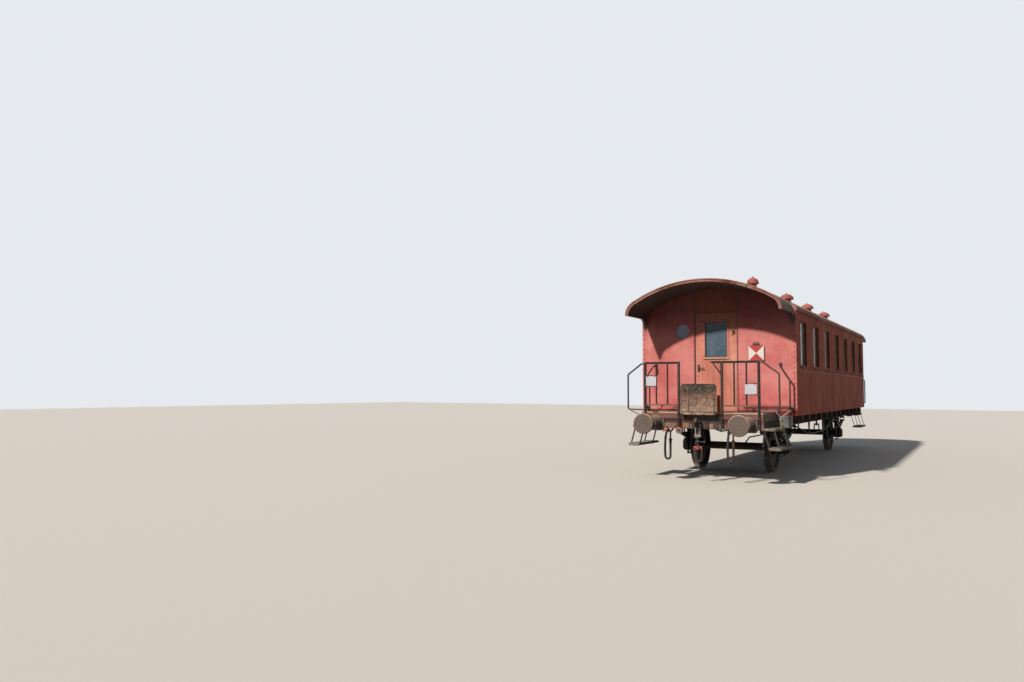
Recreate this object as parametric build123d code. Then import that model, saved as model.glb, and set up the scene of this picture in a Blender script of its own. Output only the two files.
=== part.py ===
"""Two axle passenger coach with open end platforms.

Millimetres. X runs across the coach, Y along it with the near end at -Y, Z up.
The origin lies on the floor under the wheel flanges, half way between the buffers.
"""
import os
from math import asin, atan2, cos, degrees, hypot, pi, radians, sin, sqrt, tan

from build123d import *

# Main sizes. Heights named over_rail count from the top of the rail.
FLANGE_DEPTH = 28.0
LENGTH = 12960.0
BUFFER_REACH = 680.0
PLATFORM_LENGTH = 1020.0
BACK_TO_BACK = 1360.0
RIM_WIDTH = 135.0
WHEEL_CLEARANCE = 170.0
SOLEBAR_WEB = 10.0
SOLEBAR_FLANGE = 75.0
HEADSTOCK_OVERHANG = 75.0
BODY_OVERHANG = 385.0
WALL = 60.0
WHEELBASE = 6850.0
SEAT_GAP = 0.3

RAIL = FLANGE_DEPTH
HALF = LENGTH / 2
HEADSTOCK_Y = HALF - BUFFER_REACH
END_WALL_Y = HEADSTOCK_Y - PLATFORM_LENGTH
SOLEBAR_WEB_IN = BACK_TO_BACK / 2 + RIM_WIDTH + WHEEL_CLEARANCE
HEADSTOCK_HALF = SOLEBAR_WEB_IN + SOLEBAR_WEB + SOLEBAR_FLANGE + HEADSTOCK_OVERHANG
BODY_HALF = HEADSTOCK_HALF + BODY_OVERHANG
INNER_HALF = BODY_HALF - WALL
AXLE_YS = (-WHEELBASE / 2, WHEELBASE / 2)


def over_rail(height):
    """Height above the floor of something that is so high over the rail."""
    return RAIL + height


# Window bays
WINDOWS = 7
WINDOW_MARGIN = 20.0
WINDOW_PITCH = 2 * (END_WALL_Y - WINDOW_MARGIN) / WINDOWS

# Underframe
FRAME_DEPTH = 245.0
FRAME_TOP = over_rail(1190.0)
FRAME_BOTTOM = FRAME_TOP - FRAME_DEPTH
SOLEBAR_FLANGE_THICK = 14.0
HEADSTOCK_WEB = 14.0
HEADSTOCK_FLANGE = 90.0
HEADSTOCK_BOTTOM = FRAME_BOTTOM
CROSS_MEMBER_Y = WHEELBASE / 2 - 1075.0
CROSS_MEMBER_YS = (-CROSS_MEMBER_Y, -WINDOW_PITCH, 0.0, WINDOW_PITCH, CROSS_MEMBER_Y)
CROSS_MEMBER_DEPTH = 160.0
BRACKET_THICK = 12.0
BRACKET_REACH = BODY_HALF - 30.0
BRACKET_OUTER_DEPTH = 150.0
CORNER_PLATE_DEPTH = 225.0
CORNER_PLATE_GAP = 35.0

# Body
FLOOR_THICK = 60.0
FLOOR_TOP = FRAME_TOP + FLOOR_THICK
WINDOW_OPENING = (620.0, 860.0)
WINDOW_BOTTOM = FLOOR_TOP + 897.0
WINDOW_CORNER = 45.0
FRAME_BAR = 22.0
FRAME_THICK = 34.0
GLASS = 6.0
WAIST_HEIGHT = FLOOR_TOP + 829.0
MOULDING = 40.0
MOULDING_PROUD = 12.0

# Roof
ROOF_RADIUS = 2600.0
ROOF_APEX = FLOOR_TOP + 2514.0
ROOF_THICK = 60.0
ROOF_CENTRE_Z = ROOF_APEX - ROOF_RADIUS
EAVE_HALF = BODY_HALF + 22.0
EAVE_LIP = 36.0
HOOD_HALF = BODY_HALF - 30.0
HOOD_CORNER = 300.0
HOOD_BRACKET = 250.0
VENT_X = 870.0
PLATFORM_VENT_Y = 500.0 - HEADSTOCK_Y
PLATFORM_VENT_RADIUS = 105.0
SALOON_VENT_YS = (-2350.0, 0.0, 2350.0)
SALOON_VENT_RADIUS = 145.0
VENT_HEIGHT = 170.0

# End wall and door
DOOR_OPENING = 840.0
DOOR_HEIGHT = 1960.0
DOOR_GAP = 6.0
DOOR_THICK = 40.0
DOOR_WINDOW = (442.0, 700.0)
DOOR_WINDOW_BOTTOM = FLOOR_TOP + DOOR_HEIGHT - 185.0 - DOOR_WINDOW[1]
DOOR_HINGE_PIN = 9.0
DOOR_HINGE_BARREL = 16.0
DOOR_HINGE_GAP = 0.1
DOOR_HINGE_LENGTH = 110.0
DOOR_HINGE_RISES = (220.0, DOOR_HEIGHT / 2, DOOR_HEIGHT - 220.0)
DOOR_HANDLE_RISE = 860.0
PORTHOLE_RADIUS = 145.0
PORTHOLE_PLACE = (-678.0, FLOOR_TOP + 1600.0)

# Platform railing
POST = 45.0
POST_DEPTH = 28.0
CENTRE_POST_X = DOOR_OPENING / 2 - 10.0
CORNER_POST_X = HEADSTOCK_HALF - 65.0
RAILING_TOP = FLOOR_TOP + 955.0
RAILING_LOW = FLOOR_TOP + 150.0
BAR_WIDTH = 28.0
BAR_DEPTH = 12.0
BARS_PER_PANEL = 2
CHEEK = (70.0, 345.0)
GATE_ARM = 150.0
GATE_STAY = 20.0

# Grab rails and steps
GRAB_BAR = 32.0
GRAB_X = BODY_HALF - 95.0
GRAB_WALL_STAND = 155.0
GRAB_TOP_X = BODY_HALF - 290.0
GRAB_LOW = FLOOR_TOP + 40.0
OUTER_GRAB_BEND = FLOOR_TOP + 715.0
INNER_GRAB_BEND = FLOOR_TOP + 620.0
INNER_GRAB_TOP = FLOOR_TOP + 910.0
GRAB_BENDS = (45.0, 60.0)
INNER_GRAB_RISE = 30.0
STEP_THICK = 42.0
UPPER_STEP = (HEADSTOCK_HALF + 5.0, HEADSTOCK_HALF + 200.0, 820.0, FRAME_BOTTOM)
LOWER_STEP = (HEADSTOCK_HALF + 70.0, HEADSTOCK_HALF + 295.0, 1060.0, over_rail(598.0))
STEP_STRAP = (50.0, 10.0)

# Fall plate between coaches
FALL_PLATE_WIDTH = 700.0
FALL_PLATE_HEIGHT = 560.0
FALL_PLATE_THICK = 8.0
FALL_PLATE_STAND = 125.0
FALL_PIN_RADIUS = 11.0
FALL_PIN_GAP = 0.1
FALL_EYE_RADIUS = 24.0
FALL_PIN_HEIGHT = FRAME_TOP + 35.0
FALL_LUG_X = 300.0
FALL_LUG_THICK = 16.0

# Buffers and draw gear
BUFFER_X = 875.0
BUFFER_HEIGHT = over_rail(1050.0)
BUFFER_HEAD_RADIUS = 190.0
BUFFER_HEAD_THICK = 32.0
PLUNGER_RADIUS = 88.0
BARREL_RADIUS = 120.0
BARREL_LENGTH = 330.0
BUFFER_BASE = 330.0
HOOK_THICK = 46.0
HOOK_REACH = 330.0
HOOK_PIN_PLACE = (150.0, -34.0)
LINK_PIN_RADIUS = 18.0

# Hoses and pipes under the headstock. Exit is (out, down) from the headstock's lower front edge; the route
# is (sideways, out, up) from the exit: down, round and back up to the rest that holds the coupling head.
HOSE_RADIUS = 21.0
HOSE_XS = (("right", 540.0), ("left", -640.0))
HOSE_PIPE_DROP = 46.0
HOSE_EXIT = (84.0, 92.0)
HOSE_ROUTE = (
    (0, 0, 0), (0, 40, -62), (0, 56, -150), (-6, 58, -300), (0, 54, -442),
    (28, 52, -470), (68, 50, -470), (96, 48, -442), (96, 40, -310), (96, 40, -170),
)
HOSE_HEAD_LENGTH = 80.0
HEATING_X = -385.0

# Signs on the near end
TAIL_SIGN = 290.0
TAIL_SIGN_THICK = 6.0
TAIL_SIGN_STAND = 30.0
TAIL_SIGN_PLACE = (795.0, FLOOR_TOP + 1135.0)
MARKER_PLATE = (205.0, 190.0)
MARKER_PLACES = (
    (-1, CORNER_POST_X - 125.0, FLOOR_TOP + 588.0),
    (1, CORNER_POST_X - 145.0, FLOOR_TOP + 440.0),
)

# Running gear
TREAD_RADIUS = 500.0
AXLE_HEIGHT = over_rail(TREAD_RADIUS)
AXLE_RADIUS = 78.0
WHEEL_SEAT_RADIUS = 90.0
JOURNAL_RADIUS = 60.0
JOURNAL_END = SOLEBAR_WEB_IN + 77.0
BOX_X = (SOLEBAR_WEB_IN - 80.0, SOLEBAR_WEB_IN + 103.0)
BOX_WIDTH = 250.0
BOX_TOP = 130.0
BOX_BOTTOM = 125.0
GUARD_THICK = 14.0
HORN_GAP = 230.0
SPRING_HALF = 600.0
SPRING_RADIUS = 2500.0
SPRING_LEAVES = 8
LEAF_THICK = 13.0
LEAF_WIDTH = 76.0
SPRING_X = SOLEBAR_WEB_IN + 43.0
SPRING_PIN_RADIUS = 14.0
BLOCK_GAP = 8.0
BLOCK_THICK = 48.0
BLOCK_HALF_ANGLE = 17.0
BEAM_RADIUS = 27.0
BEAM_OUT = TREAD_RADIUS + BLOCK_GAP + BLOCK_THICK + 22.0
PULL_ROD_RADIUS = 15.0
PULL_ROD_HEIGHT = over_rail(620.0)

# Benches
SEAT_HEIGHT = 440.0
SEAT_DEPTH = 430.0
SEAT_THICK = 40.0
BENCH_INNER_X = 400.0
BACK_THICK = 50.0
BACK_HEIGHT = 1060.0


def roof_z(x, depth=0.0):
    """Height of the roof arc at a place across the coach, so deep under its skin."""
    return ROOF_CENTRE_Z + sqrt((ROOF_RADIUS - depth) ** 2 - x**2)


def block(x, y, z):
    """Rectangular piece from three (low, high) pairs."""
    size = [high - low for low, high in (x, y, z)]
    centre = [(low + high) / 2 for low, high in (x, y, z)]
    return Pos(*centre) * Box(*size)


def along_x(face_points, x0, x1):
    """Outline given as (y, z) points, extruded from x0 to x1."""
    face = Plane.YZ.offset(x0) * make_face(Polyline(*face_points, close=True))
    return extrude(face, amount=x1 - x0, dir=(1, 0, 0))


def along_y(face, y0, y1):
    """Face drawn in (x, z), extruded from y0 to y1."""
    placed = Plane(origin=(0, y0, 0), x_dir=(1, 0, 0), z_dir=(0, -1, 0)) * face
    return extrude(placed, amount=y1 - y0, dir=(0, 1, 0))


def outline(points):
    """Closed face through the points."""
    return make_face(Polyline(*points, close=True))


def bar(points, radius, bend):
    """Round bar bent along the points."""
    path = FilletPolyline(*points, radius=bend)
    return sweep(Plane(origin=path @ 0, z_dir=path % 0) * Circle(radius), path=path)


def strap(points, wide, thick, bend):
    """Flat iron in an XZ plane, its width along Y."""
    path = FilletPolyline(*points, radius=bend)
    plane = Plane(origin=path @ 0, x_dir=(0, 1, 0), z_dir=path % 0)
    return sweep(plane * Rectangle(wide, thick), path=path)


def both_sides(shape):
    """The piece and its mirror image across the coach."""
    return [shape, mirror(shape, about=Plane.YZ)]


def both_ends(shape):
    """The piece and its twin at the other end, turned half round."""
    return [shape, Rot(0, 0, 180) * shape]


def fuse(pieces):
    """One solid from several that overlap or touch."""
    whole = pieces[0]
    for piece in pieces[1:]:
        whole = whole + piece
    return whole


def solids_of(items):
    found = []
    for item in items:
        found.extend(item.solids())
    return found


def write(name, items):
    """Save one sub-part, whose solids may stand apart."""
    solids = solids_of(items)
    export_step(solids[0] if len(solids) == 1 else Compound(children=solids), f"parts/{name}.step")


# Underframe


def solebars():
    web_out = SOLEBAR_WEB_IN + SOLEBAR_WEB
    tip = web_out + SOLEBAR_FLANGE
    t = SOLEBAR_FLANGE_THICK
    channel = outline([
        (SOLEBAR_WEB_IN, FRAME_BOTTOM),
        (tip, FRAME_BOTTOM),
        (tip, FRAME_BOTTOM + t),
        (web_out, FRAME_BOTTOM + t),
        (web_out, FRAME_TOP - t),
        (tip, FRAME_TOP - t),
        (tip, FRAME_TOP),
        (SOLEBAR_WEB_IN, FRAME_TOP),
    ])
    reach = HEADSTOCK_Y - HEADSTOCK_WEB
    return both_sides(along_y(channel, -reach, reach))


def fall_lug(x):
    """Arm that carries one eye of the fall plate's hinge in front of the headstock."""
    y_face = -HEADSTOCK_Y
    y_eye = y_face - FALL_PLATE_STAND
    arm = along_x([
        (y_face, FRAME_TOP - 70.0),
        (y_face, FRAME_TOP - 8.0),
        (y_eye + FALL_EYE_RADIUS * 0.5, FALL_PIN_HEIGHT + FALL_EYE_RADIUS * 0.85),
        (y_eye, FALL_PIN_HEIGHT - FALL_EYE_RADIUS),
    ], x - FALL_LUG_THICK / 2, x + FALL_LUG_THICK / 2)
    eye_at = Pos(x, y_eye, FALL_PIN_HEIGHT) * Rot(0, 90, 0)
    eye = eye_at * Cylinder(FALL_EYE_RADIUS, FALL_LUG_THICK)
    hole = eye_at * Cylinder(FALL_PIN_RADIUS + FALL_PIN_GAP, 4 * FALL_LUG_THICK)
    return arm + eye - hole


def headstock():
    """Pressed channel across the frame's end, with the fall plate's lugs."""
    half = HEADSTOCK_HALF
    front = -HEADSTOCK_Y
    back = front + HEADSTOCK_WEB
    lip = front + HEADSTOCK_FLANGE
    web = block((-half, half), (front, back), (HEADSTOCK_BOTTOM, FRAME_TOP))
    low = block((-half, half), (back, lip), (HEADSTOCK_BOTTOM, HEADSTOCK_BOTTOM + HEADSTOCK_WEB))
    clear = SOLEBAR_WEB_IN
    top_span = (-clear, clear)
    top = block(top_span, (back, lip), (FRAME_TOP - HEADSTOCK_WEB, FRAME_TOP))
    low_mid = low & block(top_span, (back, lip), (HEADSTOCK_BOTTOM, FRAME_TOP))
    plate = block((-150.0, 150.0), (front - 16.0, front), (BUFFER_HEIGHT - 105.0, FRAME_TOP - 90.0))
    lugs = [fall_lug(x) for x in (-FALL_LUG_X, FALL_LUG_X)]
    return fuse([web, top, low_mid, plate] + lugs)


def cross_members():
    """Channels between the solebars, and the two crossed stays at each end."""
    pieces = []
    low = FRAME_TOP - CROSS_MEMBER_DEPTH
    for y in CROSS_MEMBER_YS:
        section = [
            (y, low), (y + 65.0, low), (y + 65.0, low + 12.0), (y + 10.0, low + 12.0),
            (y + 10.0, FRAME_TOP - 12.0), (y + 65.0, FRAME_TOP - 12.0), (y + 65.0, FRAME_TOP), (y, FRAME_TOP),
        ]
        pieces.append(along_x(section, -SOLEBAR_WEB_IN, SOLEBAR_WEB_IN))
    y_in = AXLE_YS[1] + 780.0
    y_out = HEADSTOCK_Y - HEADSTOCK_FLANGE
    x_in, x_out = 120.0, SOLEBAR_WEB_IN - 30.0
    side = 45.0
    stay = Plane.XY.offset(FRAME_TOP - 80.0) * outline([
        (x_out, y_in), (x_out, y_in + 2 * side), (x_in + side, y_out), (x_in - side, y_out),
    ])
    stay = extrude(stay, amount=12.0, dir=(0, 0, 1))
    for half in both_sides(stay):
        pieces.extend(both_ends(half))
    transom = [(y_in - 65.0, low), (y_in, low), (y_in, FRAME_TOP), (y_in - 65.0, FRAME_TOP)]
    pieces.extend(both_ends(along_x(transom, -SOLEBAR_WEB_IN, SOLEBAR_WEB_IN)))
    return pieces


def body_brackets():
    """Plates on the solebars that carry the overhanging body sides."""
    inner = SOLEBAR_WEB_IN + SOLEBAR_WEB + SOLEBAR_FLANGE
    plate = outline([
        (inner, FRAME_BOTTOM + 20.0),
        (BRACKET_REACH - 70.0, FRAME_TOP - BRACKET_OUTER_DEPTH),
        (BRACKET_REACH, FRAME_TOP - BRACKET_OUTER_DEPTH + 30.0),
        (BRACKET_REACH, FRAME_TOP),
        (inner, FRAME_TOP),
    ])
    pieces = []
    half_pitch = WINDOW_PITCH / 2
    for step in range(-WINDOWS + 1, WINDOWS):
        y = step * half_pitch
        web = along_y(plate, y - BRACKET_THICK / 2, y + BRACKET_THICK / 2)
        edge = block((BRACKET_REACH - 10.0, BRACKET_REACH), (y - 32.0, y + 32.0),
                     (FRAME_TOP - BRACKET_OUTER_DEPTH + 40.0, FRAME_TOP))
        pieces.extend(both_sides(web + edge))
    return pieces


def corner_plate():
    """Bolted plate under the end wall's corner, with one large hole."""
    x0, x1 = HEADSTOCK_HALF + CORNER_PLATE_GAP, BRACKET_REACH - 60.0
    z0 = FRAME_TOP - CORNER_PLATE_DEPTH
    face = outline([(x0, z0), (x1 - 30.0, z0), (x1, z0 + 40.0), (x1, FRAME_TOP), (x0, FRAME_TOP)])
    hole = Pos(x0 + 55.0, FRAME_TOP - 90.0) * Circle(28.0)
    return along_y(face - hole, -END_WALL_Y, -END_WALL_Y + BRACKET_THICK)


def truss_rods():
    """Rod under each solebar, held down by two queen posts."""
    x = SPRING_X
    low = over_rail(660.0)
    half, post_y = 2560.0, 900.0
    top = FRAME_BOTTOM - 26.0
    rod = bar([(x, -half, top), (x, -post_y, low), (x, post_y, low), (x, half, top)], 17.0, 120.0)
    pieces = [rod]
    for y in (-post_y, post_y):
        post = outline([(y - 55.0, FRAME_BOTTOM), (y + 55.0, FRAME_BOTTOM), (y + 22.0, low), (y - 22.0, low)])
        pieces.append(extrude(Plane.YZ.offset(x - 12.0) * post, amount=24.0, dir=(1, 0, 0)))
    for y in (-half, half):
        pieces.append(block((x - 22.0, x + 22.0), (y - 45.0, y + 45.0), (top - 30.0, FRAME_BOTTOM)))
    return both_sides(fuse(pieces))


# Floors and walls


def saloon_floor():
    y = END_WALL_Y - WALL
    return block((-INNER_HALF, INNER_HALF), (-y, y), (FRAME_TOP, FLOOR_TOP))


def platform_floor():
    half = HEADSTOCK_HALF
    deck = block((-half, half), (-HEADSTOCK_Y, -END_WALL_Y), (FRAME_TOP, FLOOR_TOP))
    sill = block((half - 12.0, half), (-HEADSTOCK_Y + HEADSTOCK_WEB, -END_WALL_Y),
                 (FRAME_TOP - 80.0, FRAME_TOP))
    return fuse([deck] + both_sides(sill))


def window_centres():
    return [(i - (WINDOWS - 1) / 2) * WINDOW_PITCH for i in range(WINDOWS)]


def rounded_window(width, height, corner, y, z_mid, x0, x1):
    """Rounded rectangular block through a side wall."""
    face = Plane.YZ.offset(x0) * Pos(y, z_mid) * RectangleRounded(width, height, corner)
    return extrude(face, amount=x1 - x0, dir=(1, 0, 0))


def side_wall():
    """Right-hand wall: the section with its mouldings, and the window openings."""
    out = BODY_HALF
    proud = out + MOULDING_PROUD
    top = roof_z(out, ROOF_THICK)
    section = outline([
        (INNER_HALF, FRAME_TOP),
        (out, FRAME_TOP),
        (out, WAIST_HEIGHT - MOULDING / 2),
        (proud, WAIST_HEIGHT - MOULDING / 2 + MOULDING_PROUD),
        (proud, WAIST_HEIGHT + MOULDING / 2 - MOULDING_PROUD),
        (out, WAIST_HEIGHT + MOULDING / 2),
        (out, top),
        (INNER_HALF, roof_z(INNER_HALF, ROOF_THICK)),
    ])
    wall = along_y(section, -END_WALL_Y, END_WALL_Y)
    width, height = WINDOW_OPENING
    for y in window_centres():
        wall -= rounded_window(width, height, WINDOW_CORNER, y, WINDOW_BOTTOM + height / 2,
                               INNER_HALF - 10.0, out + 20.0)
    return wall


def window_frames():
    width, height = WINDOW_OPENING
    mid = WINDOW_BOTTOM + height / 2
    x0, x1 = INNER_HALF, INNER_HALF + FRAME_THICK
    light = (width - 2 * FRAME_BAR, height - 2 * FRAME_BAR, WINDOW_CORNER - FRAME_BAR)
    pieces = []
    for y in window_centres():
        frame = rounded_window(width, height, WINDOW_CORNER, y, mid, x0, x1)
        frame -= rounded_window(*light, y, mid, x0 - 5.0, x1 + 5.0)
        pieces.extend(both_sides(frame))
    return pieces


def window_glass():
    width, height = WINDOW_OPENING
    mid = WINDOW_BOTTOM + height / 2
    x0 = INNER_HALF + FRAME_THICK / 2 - GLASS / 2
    pieces = []
    inset = 2 * (FRAME_BAR + SEAT_GAP)
    for y in window_centres():
        pane = rounded_window(
            width - inset, height - inset, WINDOW_CORNER - FRAME_BAR, y, mid, x0, x0 + GLASS)
        pieces.extend(both_sides(pane))
    disc = Pos(PORTHOLE_PLACE[0], -END_WALL_Y + WALL / 2, PORTHOLE_PLACE[1]) * Rot(90, 0, 0)
    pieces.extend(both_ends(disc * Cylinder(PORTHOLE_RADIUS - SEAT_GAP, GLASS)))
    return pieces


def hinge_barrel(rise, low, high, radius, bore):
    """Part of a door hinge's barrel between two shares of its length."""
    x = DOOR_OPENING / 2 - DOOR_GAP / 2
    y = -END_WALL_Y + WALL + DOOR_HINGE_BARREL
    z0 = FLOOR_TOP + rise + low * DOOR_HINGE_LENGTH
    tall = (high - low) * DOOR_HINGE_LENGTH
    at = Pos(x, y, z0 + tall / 2)
    tube = at * Cylinder(radius, tall)
    if bore:
        tube -= at * Cylinder(bore, tall + 4.0)
    return tube


def hinge_leaf(rise, low, high, side):
    """Flat wing of a door hinge, on the wall (+1) or on the door (-1)."""
    x = DOOR_OPENING / 2 - DOOR_GAP / 2
    y_face = -END_WALL_Y + WALL
    z0 = FLOOR_TOP + rise + low * DOOR_HINGE_LENGTH
    z1 = FLOOR_TOP + rise + high * DOOR_HINGE_LENGTH
    span = sorted((x + side * 8.0, x + side * 60.0))
    return block(span, (y_face, y_face + 6.0), (z0, z1))


def end_wall():
    """Near end wall with its doorway, porthole and the fixed half of the hinges."""
    half = BODY_HALF - WALL
    side_z = roof_z(half, ROOF_THICK)
    section = make_face([
        Line((-half, side_z), (-half, FRAME_TOP)),
        Line((-half, FRAME_TOP), (half, FRAME_TOP)),
        Line((half, FRAME_TOP), (half, side_z)),
        ThreePointArc((half, side_z), (0, roof_z(0, ROOF_THICK)), (-half, side_z)),
    ])
    wall = along_y(section, -END_WALL_Y, -END_WALL_Y + WALL)
    through = (-END_WALL_Y - 10.0, -END_WALL_Y + WALL + 10.0)
    wall -= block((-DOOR_OPENING / 2, DOOR_OPENING / 2), through, (FLOOR_TOP, FLOOR_TOP + DOOR_HEIGHT))
    at = Pos(PORTHOLE_PLACE[0], -END_WALL_Y + WALL / 2, PORTHOLE_PLACE[1]) * Rot(90, 0, 0)
    wall -= at * Cylinder(PORTHOLE_RADIUS, 2 * WALL)
    for rise in DOOR_HINGE_RISES:
        wall += hinge_leaf(rise, 0.0, 0.48, 1)
        wall += hinge_barrel(rise, 0.0, 0.48, DOOR_HINGE_BARREL, 0)
        wall += hinge_barrel(rise, 0.48, 0.95, DOOR_HINGE_PIN, 0)
    return wall


def door():
    """Leaf of the near end door, closed, with the loose half of its hinges."""
    half = DOOR_OPENING / 2 - DOOR_GAP
    y1 = -END_WALL_Y + WALL
    leaf = block((-half, half), (y1 - DOOR_THICK, y1),
                 (FLOOR_TOP + DOOR_GAP, FLOOR_TOP + DOOR_HEIGHT - DOOR_GAP))
    wide, tall = DOOR_WINDOW
    leaf -= block((-wide / 2, wide / 2), (y1 - DOOR_THICK - 5.0, y1 + 5.0),
                  (DOOR_WINDOW_BOTTOM, DOOR_WINDOW_BOTTOM + tall))
    for rise in DOOR_HINGE_RISES:
        leaf += hinge_leaf(rise, 0.52, 1.0, -1)
        leaf += hinge_barrel(rise, 0.52, 1.0, DOOR_HINGE_BARREL, 0)
        leaf -= hinge_barrel(rise, 0.4, 0.97, DOOR_HINGE_PIN + DOOR_HINGE_GAP, 0)
    return leaf


def door_glass():
    wide, tall = DOOR_WINDOW
    y_mid = -END_WALL_Y + WALL - DOOR_THICK / 2
    gap = SEAT_GAP
    return block((-wide / 2 + gap, wide / 2 - gap), (y_mid - GLASS / 2, y_mid + GLASS / 2),
                 (DOOR_WINDOW_BOTTOM + gap, DOOR_WINDOW_BOTTOM + tall - gap))


def door_handle():
    """Lever and back plate on each face of the leaf."""
    x = -DOOR_OPENING / 2 + DOOR_GAP + 62.0
    z = FLOOR_TOP + DOOR_HANDLE_RISE
    y1 = -END_WALL_Y + WALL
    y0 = y1 - DOOR_THICK
    pieces = []
    for face, out in ((y0, -1), (y1, 1)):
        plate = block((x - 22.0, x + 22.0), sorted((face, face + out * 5.0)), (z - 90.0, z + 70.0))
        neck_end = face + out * 48.0
        lever = bar([(x, face, z), (x, neck_end, z), (x + 115.0, neck_end, z - 6.0)], 9.0, 18.0)
        pieces.append(plate + lever)
    return pieces


# Roof


def hood_face():
    """Section of the roof over a platform: the main arc with its corners turned down."""

    def edge(depth):
        centre_x = HOOD_HALF - HOOD_CORNER
        reach = ROOF_RADIUS - HOOD_CORNER
        centre_z = ROOF_CENTRE_Z + sqrt(reach**2 - centre_x**2)
        radius = HOOD_CORNER - depth
        lean = atan2(centre_z - ROOF_CENTRE_Z, centre_x)
        meet = (centre_x + radius * cos(lean), centre_z + radius * sin(lean))
        middle = (centre_x + radius * cos(lean / 2), centre_z + radius * sin(lean / 2))
        tip = (centre_x + radius, centre_z)
        return tip, middle, meet

    def flip(point):
        return (-point[0], point[1])

    tip_o, mid_o, meet_o = edge(0.0)
    tip_i, mid_i, meet_i = edge(ROOF_THICK)
    return make_face([
        ThreePointArc(tip_o, mid_o, meet_o),
        ThreePointArc(meet_o, (0, ROOF_APEX), flip(meet_o)),
        ThreePointArc(flip(meet_o), flip(mid_o), flip(tip_o)),
        Line(flip(tip_o), flip(tip_i)),
        ThreePointArc(flip(tip_i), flip(mid_i), flip(meet_i)),
        ThreePointArc(flip(meet_i), (0, ROOF_APEX - ROOF_THICK), meet_i),
        ThreePointArc(meet_i, mid_i, tip_i),
        Line(tip_i, tip_o),
    ])


def saloon_roof_face():
    """Section of the roof over the saloon, with a lip outside each wall's top."""
    out_z = roof_z(EAVE_HALF)
    lip_z = out_z - EAVE_LIP
    lip_x = BODY_HALF + SEAT_GAP
    in_z = roof_z(lip_x, ROOF_THICK)
    lip_z = min(lip_z, in_z - 10.0)
    return make_face([
        ThreePointArc((EAVE_HALF, out_z), (0, ROOF_APEX), (-EAVE_HALF, out_z)),
        Line((-EAVE_HALF, out_z), (-EAVE_HALF, lip_z)),
        Line((-EAVE_HALF, lip_z), (-lip_x, lip_z)),
        Line((-lip_x, lip_z), (-lip_x, in_z)),
        ThreePointArc((-lip_x, in_z), (0, ROOF_APEX - ROOF_THICK), (lip_x, in_z)),
        Line((lip_x, in_z), (lip_x, lip_z)),
        Line((lip_x, lip_z), (EAVE_HALF, lip_z)),
        Line((EAVE_HALF, lip_z), (EAVE_HALF, out_z)),
    ])


def roof():
    return along_y(saloon_roof_face(), -END_WALL_Y, END_WALL_Y)


def roof_hood():
    """Roof over the near platform."""
    return along_y(hood_face(), -HEADSTOCK_Y, -END_WALL_Y)


def hood_bracket():
    """Curved bracket in the corner between the end wall and the platform roof."""
    top = ROOF_CENTRE_Z + sqrt((ROOF_RADIUS - HOOD_CORNER) ** 2 - (HOOD_HALF - HOOD_CORNER) ** 2)
    y_wall = -END_WALL_Y
    r = HOOD_BRACKET
    centre = (y_wall - r, top - r)
    face = Plane.YZ.offset(HOOD_HALF - ROOF_THICK) * make_face([
        Line((y_wall, top), (y_wall - r, top)),
        ThreePointArc((y_wall - r, top), (centre[0] + r * cos(radians(45)), centre[1] + r * sin(radians(45))),
                      (y_wall, top - r)),
        Line((y_wall, top - r), (y_wall, top)),
    ])
    return extrude(face, amount=ROOF_THICK - 1.0, dir=(1, 0, 0))


def vent(y, r):
    """Domed roof ventilator: a flared foot, a waist and a round cap of radius r."""
    z = roof_z(VENT_X)
    h = VENT_HEIGHT
    rim = h * 0.55
    dome = (r**2 + (h - rim) ** 2) / (2 * (h - rim))
    half_way = asin(r / dome) / 2
    profile = make_face([
        Line((0, -60.0), (r * 0.8, -60.0)),
        Line((r * 0.8, -60.0), (r * 0.62, h * 0.25)),
        Line((r * 0.62, h * 0.25), (r, h * 0.3)),
        Line((r, h * 0.3), (r, rim)),
        ThreePointArc((r, rim), (dome * sin(half_way), h - dome + dome * cos(half_way)), (0, h)),
        Line((0, h), (0, -60.0)),
    ])
    body = revolve(Plane.XZ * profile, axis=Axis.Z, revolution_arc=360)
    return Pos(VENT_X, y, z) * body


def roof_vents():
    """Small one over each platform, on that end's right-hand side, and larger ones over the saloon."""
    under = Pos(0, 0, ROOF_CENTRE_Z) * Rot(90, 0, 0) * Cylinder(ROOF_RADIUS, LENGTH)
    pieces = both_ends(vent(PLATFORM_VENT_Y, PLATFORM_VENT_RADIUS) - under)
    for y in SALOON_VENT_YS:
        pieces.extend(both_sides(vent(y, SALOON_VENT_RADIUS) - under))
    return pieces


# Platform ends


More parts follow.
